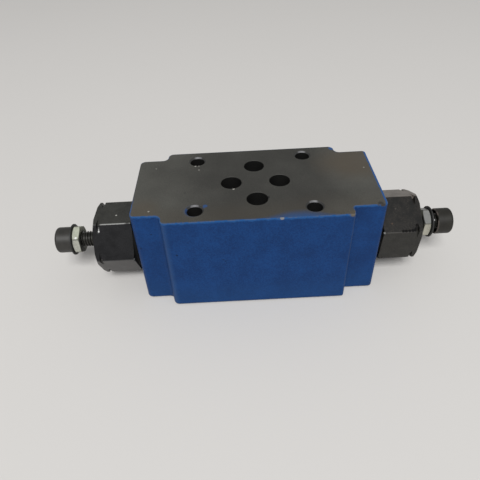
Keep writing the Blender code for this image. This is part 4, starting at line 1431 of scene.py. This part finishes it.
@dataclass(frozen=True)
class Cartridge:
    """One throttle and check cartridge: plug, adjusting screw, nut, washer, ring and cap.

    The nut's thread is wider than the screw's, so that it clears the spindle at every pose.
    """

    end: End
    hex_turn: float
    nut_turn: float
    middle: float = MIDDLE
    axis_height: float = AXIS_HEIGHT
    thread: MetricThread = MetricThread()
    nut_thread: MetricThread = MetricThread(diameter=6.5 * MM, root=3.0 * MM)
    plug_sizes: PlugSizes = PlugSizes()
    screw_sizes: ScrewSizes = ScrewSizes()
    nut_sizes: NutSizes = NutSizes()
    cap_sizes: CapSizes = CapSizes()

    def node(self, kind: str) -> str:
        """The name of one of this end's nodes."""
        return f"{self.end.label}_{kind}"

    def reach(self, kind: str) -> tuple[float, float]:
        """The inner and outer end of a node along the cartridge's axis."""
        low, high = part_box(self.node(kind))
        ends = sorted(self.end.value * (corner[0] - self.middle) for corner in (low, high))
        return ends[0], ends[1]

    def settle(self, bench: Bench, shape: bpy.types.Object, material: bpy.types.Material, kind: str) -> None:
        """Turns a finished shape onto the cartridge's axis and gives it its finish."""
        bench.place(shape, axis_of(self.end, self.middle, self.axis_height))
        bench.coat(shape, material)
        bench.smooth(shape)
        log.info("%s: %d faces", self.node(kind), len(shape.data.polygons))

    def plug_stations(self, nose: float, face: float) -> list[Station]:
        """The plug's profile between its nose and its face, outside and then bore."""
        size = self.plug_sizes
        collar = size.body_end + size.seat_gap
        hexagon = collar + size.collar_length
        blank = hex_corner(size.flats) + size.bar_stock
        rim_top = face - size.rim_from_face
        rim_bottom = rim_top - size.rim_width
        undercut_start = size.body_end - size.mouth_depth - size.running_gap
        nose_floor = nose + size.nose_depth
        guide_end = face - size.guide_from_face
        minor = self.thread.root + size.thread_room
        mouth = self.thread.diameter / 2 + size.thread_entry
        return [
            Station(size.nose_bore, nose), Station(size.nose, nose), Station(size.nose, size.shank_start),
            Station(size.shank - size.shank_edge, size.shank_start),
            Station(size.shank, size.shank_start + size.shank_edge), Station(size.shank, undercut_start),
            Station(size.undercut, undercut_start), Station(size.undercut, collar),
            Station(size.collar - size.collar_edge, collar), Station(size.collar, collar + size.collar_edge),
            Station(size.collar, hexagon), Station(size.back, hexagon),
            Station(blank, hexagon + (blank - size.back) * FLANK_SLOPE), Station(blank, rim_bottom),
            Station(size.rim, rim_bottom + size.rim_flank), Station(size.rim, rim_top - size.rim_flank),
            Station(blank, rim_top), Station(blank, face - (blank - size.face) * FLANK_SLOPE),
            Station(size.face, face), Station(mouth, face), Station(minor, face - (mouth - minor)),
            Station(minor, guide_end), Station(size.guide, guide_end), Station(size.guide, nose_floor),
            Station(size.nose_bore, nose_floor),
        ]

    def plug(self, bench: Bench, palette: Palette) -> Piece:
        """The plug, turned from hexagonal bar and drilled."""
        size = self.plug_sizes
        nose, face = self.reach("end_plug")
        stations = self.plug_stations(nose, face)
        plug = bench.turned(f"{self.end.label}_hexagon_plug", stations, HEX_STEPS, hollow=True)
        bar = bench.hex_bar("plug_bar", size.flats, nose - MM, face + MM, self.hex_turn, size.bar_edge)
        bench.combine(plug, bar, "INTERSECT")
        middle = Vector((0.0, 0.0, size.window_middle))
        for arm in (Vector((size.window_reach, 0.0, 0.0)), Vector((0.0, size.window_reach, 0.0))):
            window = bench.drill(
                "window", tuple(middle - arm), tuple(middle + arm), size.window_bore, WINDOW_STEPS
            )
            bench.combine(plug, window)
        guide_end = face - size.guide_from_face
        bench.combine(plug, self.thread.ridge(bench, guide_end, face, female=True))
        self.settle(bench, plug, palette.black_steel[self.end], "end_plug")
        return Piece(plug, "root", self.node("end_plug"), "black_steel")

    def screw(self, bench: Bench, palette: Palette) -> Piece:
        """The adjusting screw: a real thread, a stem with its ring groove, a button and a key socket."""
        size = self.screw_sizes
        low, tip = self.reach("adjusting_screw")
        button = low + size.button_thickness
        stem_face = button + size.neck_length
        shoulder = stem_face + size.stem_length
        groove = stem_face + size.groove_start
        groove_end = groove + size.groove_width
        root = self.thread.root
        crest = self.thread.diameter / 2
        stations = [
            Station(size.button - size.button_edge, low), Station(size.button, low + size.button_edge),
            Station(size.button, button), Station(size.neck, button), Station(size.neck, stem_face),
            Station(size.stem - size.stem_edge, stem_face), Station(size.stem, stem_face + size.stem_edge),
            Station(size.stem, groove), Station(size.groove, groove), Station(size.groove, groove_end),
            Station(size.stem, groove_end), Station(size.stem, shoulder - size.stem_edge),
            Station(size.stem - size.stem_edge, shoulder), Station(root, shoulder),
            Station(root, tip - size.root_edge), Station(root - size.root_edge, tip),
        ]
        screw = bench.turned(f"{self.end.label}_threaded_spindle", stations, SCREW_STEPS)
        thread_start = shoulder + size.thread_start
        envelope = bench.turned("thread_blank", [
            Station(root, thread_start), Station(crest, shoulder + size.thread_full),
            Station(crest, tip - size.tip_chamfer), Station(crest - size.tip_chamfer, tip),
        ], HEX_STEPS)
        ridge = self.thread.ridge(bench, thread_start, tip)
        bench.combine(ridge, envelope, "INTERSECT")
        bench.combine(screw, ridge, "UNION")
        socket = bench.hex_bar("key_socket", size.socket_flats, tip - size.socket_depth, tip + MM, 0.0)
        bench.combine(screw, socket)
        self.settle(bench, screw, palette.thread, "adjusting_screw")
        return Piece(screw, self.node("screw"), self.node("adjusting_screw"), "dark_steel")

    def nut(self, bench: Bench, palette: Palette) -> Piece:
        """The lock nut, chamfered on both faces, with its thread."""
        size = self.nut_sizes
        low, high = self.reach("lock_nut")
        corner = hex_corner(size.flats) + size.bar_stock
        face = size.face_share * size.flats / 2
        chamfer = (corner - face) * FLANK_SLOPE
        minor = self.nut_thread.root + size.thread_room
        entry = (size.mouth - minor) * size.entry_share
        stations = [
            Station(size.mouth, low), Station(face, low), Station(corner, low + chamfer),
            Station(corner, high - chamfer), Station(face, high), Station(size.mouth, high),
            Station(minor, high - entry), Station(minor, low + entry),
        ]
        nut = bench.turned(f"{self.end.label}_hexagon_nut", stations, HEX_STEPS, hollow=True)
        bar = bench.hex_bar("nut_bar", size.flats, low - MM, high + MM, self.nut_turn, size.bar_edge)
        bench.combine(nut, bar, "INTERSECT")
        bench.combine(nut, self.nut_thread.ridge(bench, low, high, female=True))
        self.settle(bench, nut, palette.zinc[self.end], "lock_nut")
        return Piece(nut, self.node("nut"), self.node("lock_nut"), "zinc_steel")

    def washer(self, bench: Bench, palette: Palette) -> Piece:
        """The thin washer outside the nut, its rims slightly rounded."""
        low, high = self.reach("nut_washer")
        size = self.cap_sizes
        outer, inner, ease = size.washer, size.washer_bore, size.washer_edge
        stations = [
            Station(inner, low), Station(outer - ease, low), Station(outer, low + ease),
            Station(outer, high - ease), Station(outer - ease, high), Station(inner, high),
        ]
        washer = bench.turned(f"{self.end.label}_thin_washer", stations, hollow=True)
        self.settle(bench, washer, palette.washer, "nut_washer")
        return Piece(washer, self.node("washer"), self.node("nut_washer"), "black_washer")

    def cap_ring(self, bench: Bench, palette: Palette) -> Piece:
        """The rubber ring on the thread that grips the cap."""
        low, high = self.reach("cap_ring")
        size = self.cap_sizes
        ring = o_ring(bench, f"{self.end.label}_grip_ring", size.ring, size.ring_cord, (low + high) / 2)
        self.settle(bench, ring, palette.cap_ring, "cap_ring")
        return Piece(ring, self.node("screw"), self.node("cap_ring"), "cap_rubber")

    def cap(self, bench: Bench, palette: Palette) -> Piece:
        """The push-on cap with its rounded end and lipped mouth."""
        mouth, end = self.reach("screw_cap")
        size = self.cap_sizes
        outer, edge, lip = size.cap, size.cap_edge, size.lip
        turns = [pi / 2 * step / size.cap_edge_steps for step in range(size.cap_edge_steps + 1)]
        rounds = [Station(outer - edge * (1 - cos(turn)), end - edge * (1 - sin(turn))) for turn in turns]
        stations = [
            Station(size.bore, end - size.cap_end), Station(size.bore, mouth + size.mouth_depth),
            Station(size.mouth_bore, mouth + size.mouth_depth), Station(size.mouth_bore, mouth + lip),
            Station(size.mouth_bore + lip / 2, mouth), Station(outer - lip, mouth),
            Station(outer, mouth + lip), *rounds,
        ]
        cap = bench.turned(f"{self.end.label}_protective_cap", stations, ROUND_STEPS)
        self.settle(bench, cap, palette.cap[self.end], "screw_cap")
        return Piece(cap, self.node("cap"), self.node("screw_cap"), "cap_plastic")

    def build(self, bench: Bench, palette: Palette) -> list[Piece]:
        """Models every visible piece of the cartridge, from the plug outward."""
        makers = (self.plug, self.screw, self.nut, self.washer, self.cap_ring, self.cap)
        return [maker(bench, palette) for maker in makers]


@dataclass(frozen=True)
class InnerPieces:
    """The pieces inside the body, whose solids stay and get real finishes."""

    kinds: tuple[str, ...] = ("throttle_spool", "seat_sleeve", "check_spring", "plug_seal", "screw_seal")

    def dress(self, palette: Palette) -> None:
        """Gives each kept node its finish."""
        finishes = {
            "throttle_spool": palette.hardened, "seat_sleeve": palette.hardened,
            "check_spring": palette.spring, "plug_seal": palette.seal, "screw_seal": palette.seal,
        }
        for end in End:
            for kind in self.kinds:
                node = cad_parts[f"{end.label}_{kind}"]
                for slot in node.material_slots:
                    slot.material = finishes[kind]


# Studio


@dataclass(frozen=True)
class Studio:
    """The pale floor, the soft lamps and the camera at the photograph's angle."""

    lens: float = 34.83
    sensor: float = 36.0
    near_clip: float = 0.005
    aim: Place = (0.0, 0.0, 0.02)
    eye: Place = (-0.00572, -0.13957, 0.13521)
    right: Place = (0.998694, -0.035026, -0.037236)
    up: Place = (0.051094, 0.660275, 0.749275)
    back: Place = (-0.001658, -0.7502, 0.6612)
    floor_half: float = 3.0
    floor_grain: float = 0.35
    floor_colour: Colour = (0.635, 0.62, 0.60)
    floor_patch: Colour = (0.58, 0.565, 0.545)
    sky: Colour = (0.36, 0.36, 0.36)
    lamp_place: Place = (-0.08, -1.20, 1.65)
    lamp_size: float = 0.8
    lamp_power: float = 38.0

    def camera(self) -> None:
        """Adds the camera."""
        lens = bpy.data.cameras.new("camera")
        lens.lens = self.lens
        lens.sensor_width = self.sensor
        lens.clip_start = self.near_clip
        camera = bpy.data.objects.new("camera", lens)
        bpy.context.scene.collection.objects.link(camera)
        columns = [Vector(self.right), Vector(self.up), Vector(self.back)]
        turn = Matrix([[column[row] for column in columns] for row in range(3)]).to_4x4()
        camera.matrix_world = Matrix.Translation(self.eye) @ turn
        bpy.context.scene.camera = camera

    def floor(self, bench: Bench) -> None:
        """Adds the floor, at the lowest point of the valve."""
        bench.clear()
        bpy.ops.mesh.primitive_plane_add(size=2 * self.floor_half, location=(0.0, 0.0, CAD_BOX[0][2]))
        floor = bpy.context.object
        floor.name = "studio_floor"
        recipe = Recipe("pale_floor", specular=0.2)
        shade = recipe.noise(self.floor_grain, 2.0)
        colour = recipe.mix(shade * 0.4, self.floor_colour, self.floor_patch)
        floor.data.materials.append(recipe.finish(colour, 0.7))

    def lamp(self, name: str, place: Place, size: float, power: float) -> None:
        """Adds a soft square lamp that looks at the valve."""
        light = bpy.data.lights.new(name, "AREA")
        light.shape = "SQUARE"
        light.size = size
        light.energy = power
        lamp = bpy.data.objects.new(name, light)
        bpy.context.scene.collection.objects.link(lamp)
        aim = Vector(self.aim) - Vector(place)
        lamp.matrix_world = Matrix.Translation(place) @ aim.to_track_quat("-Z", "Y").to_matrix().to_4x4()

    def light(self) -> None:
        """Lights the scene evenly, with a soft lead from above the camera."""
        world = bpy.data.worlds.new("studio")
        world.use_nodes = True
        background = world.node_tree.nodes["Background"]
        background.inputs["Color"].default_value = (*self.sky, 1.0)
        bpy.context.scene.world = world
        self.lamp("window", self.lamp_place, self.lamp_size, self.lamp_power)
        bpy.context.scene.view_settings.view_transform = "Standard"

    def build(self, bench: Bench) -> None:
        """Sets up the camera, the floor and the light."""
        self.camera()
        self.floor(bench)
        self.light()


def ride(piece: Piece) -> None:
    """Hands a finished piece to its body and its node."""
    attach(piece.shape, piece.body)
    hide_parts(piece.node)


def main() -> None:
    """Builds the valve and its studio."""
    logging.basicConfig(level=logging.INFO, format="%(name)s: %(message)s")
    bench = Bench()
    palette = Palette()
    studio = Studio()
    studio.build(bench)
    plate = ValveBody()
    pieces = [plate.build(bench, palette)]
    pieces += PortSeals().build(bench, plate, palette)
    for end in End:
        cartridge = Cartridge(end, end.value * PLUG_CORNER[end], end.value * NUT_CORNER[end])
        pieces += cartridge.build(bench, palette)
    for piece in pieces:
        ride(piece)
        log.info("%s rides on %s", piece.shape.name, piece.body)
    InnerPieces().dress(palette)


if __name__ == "__main__":
    main()
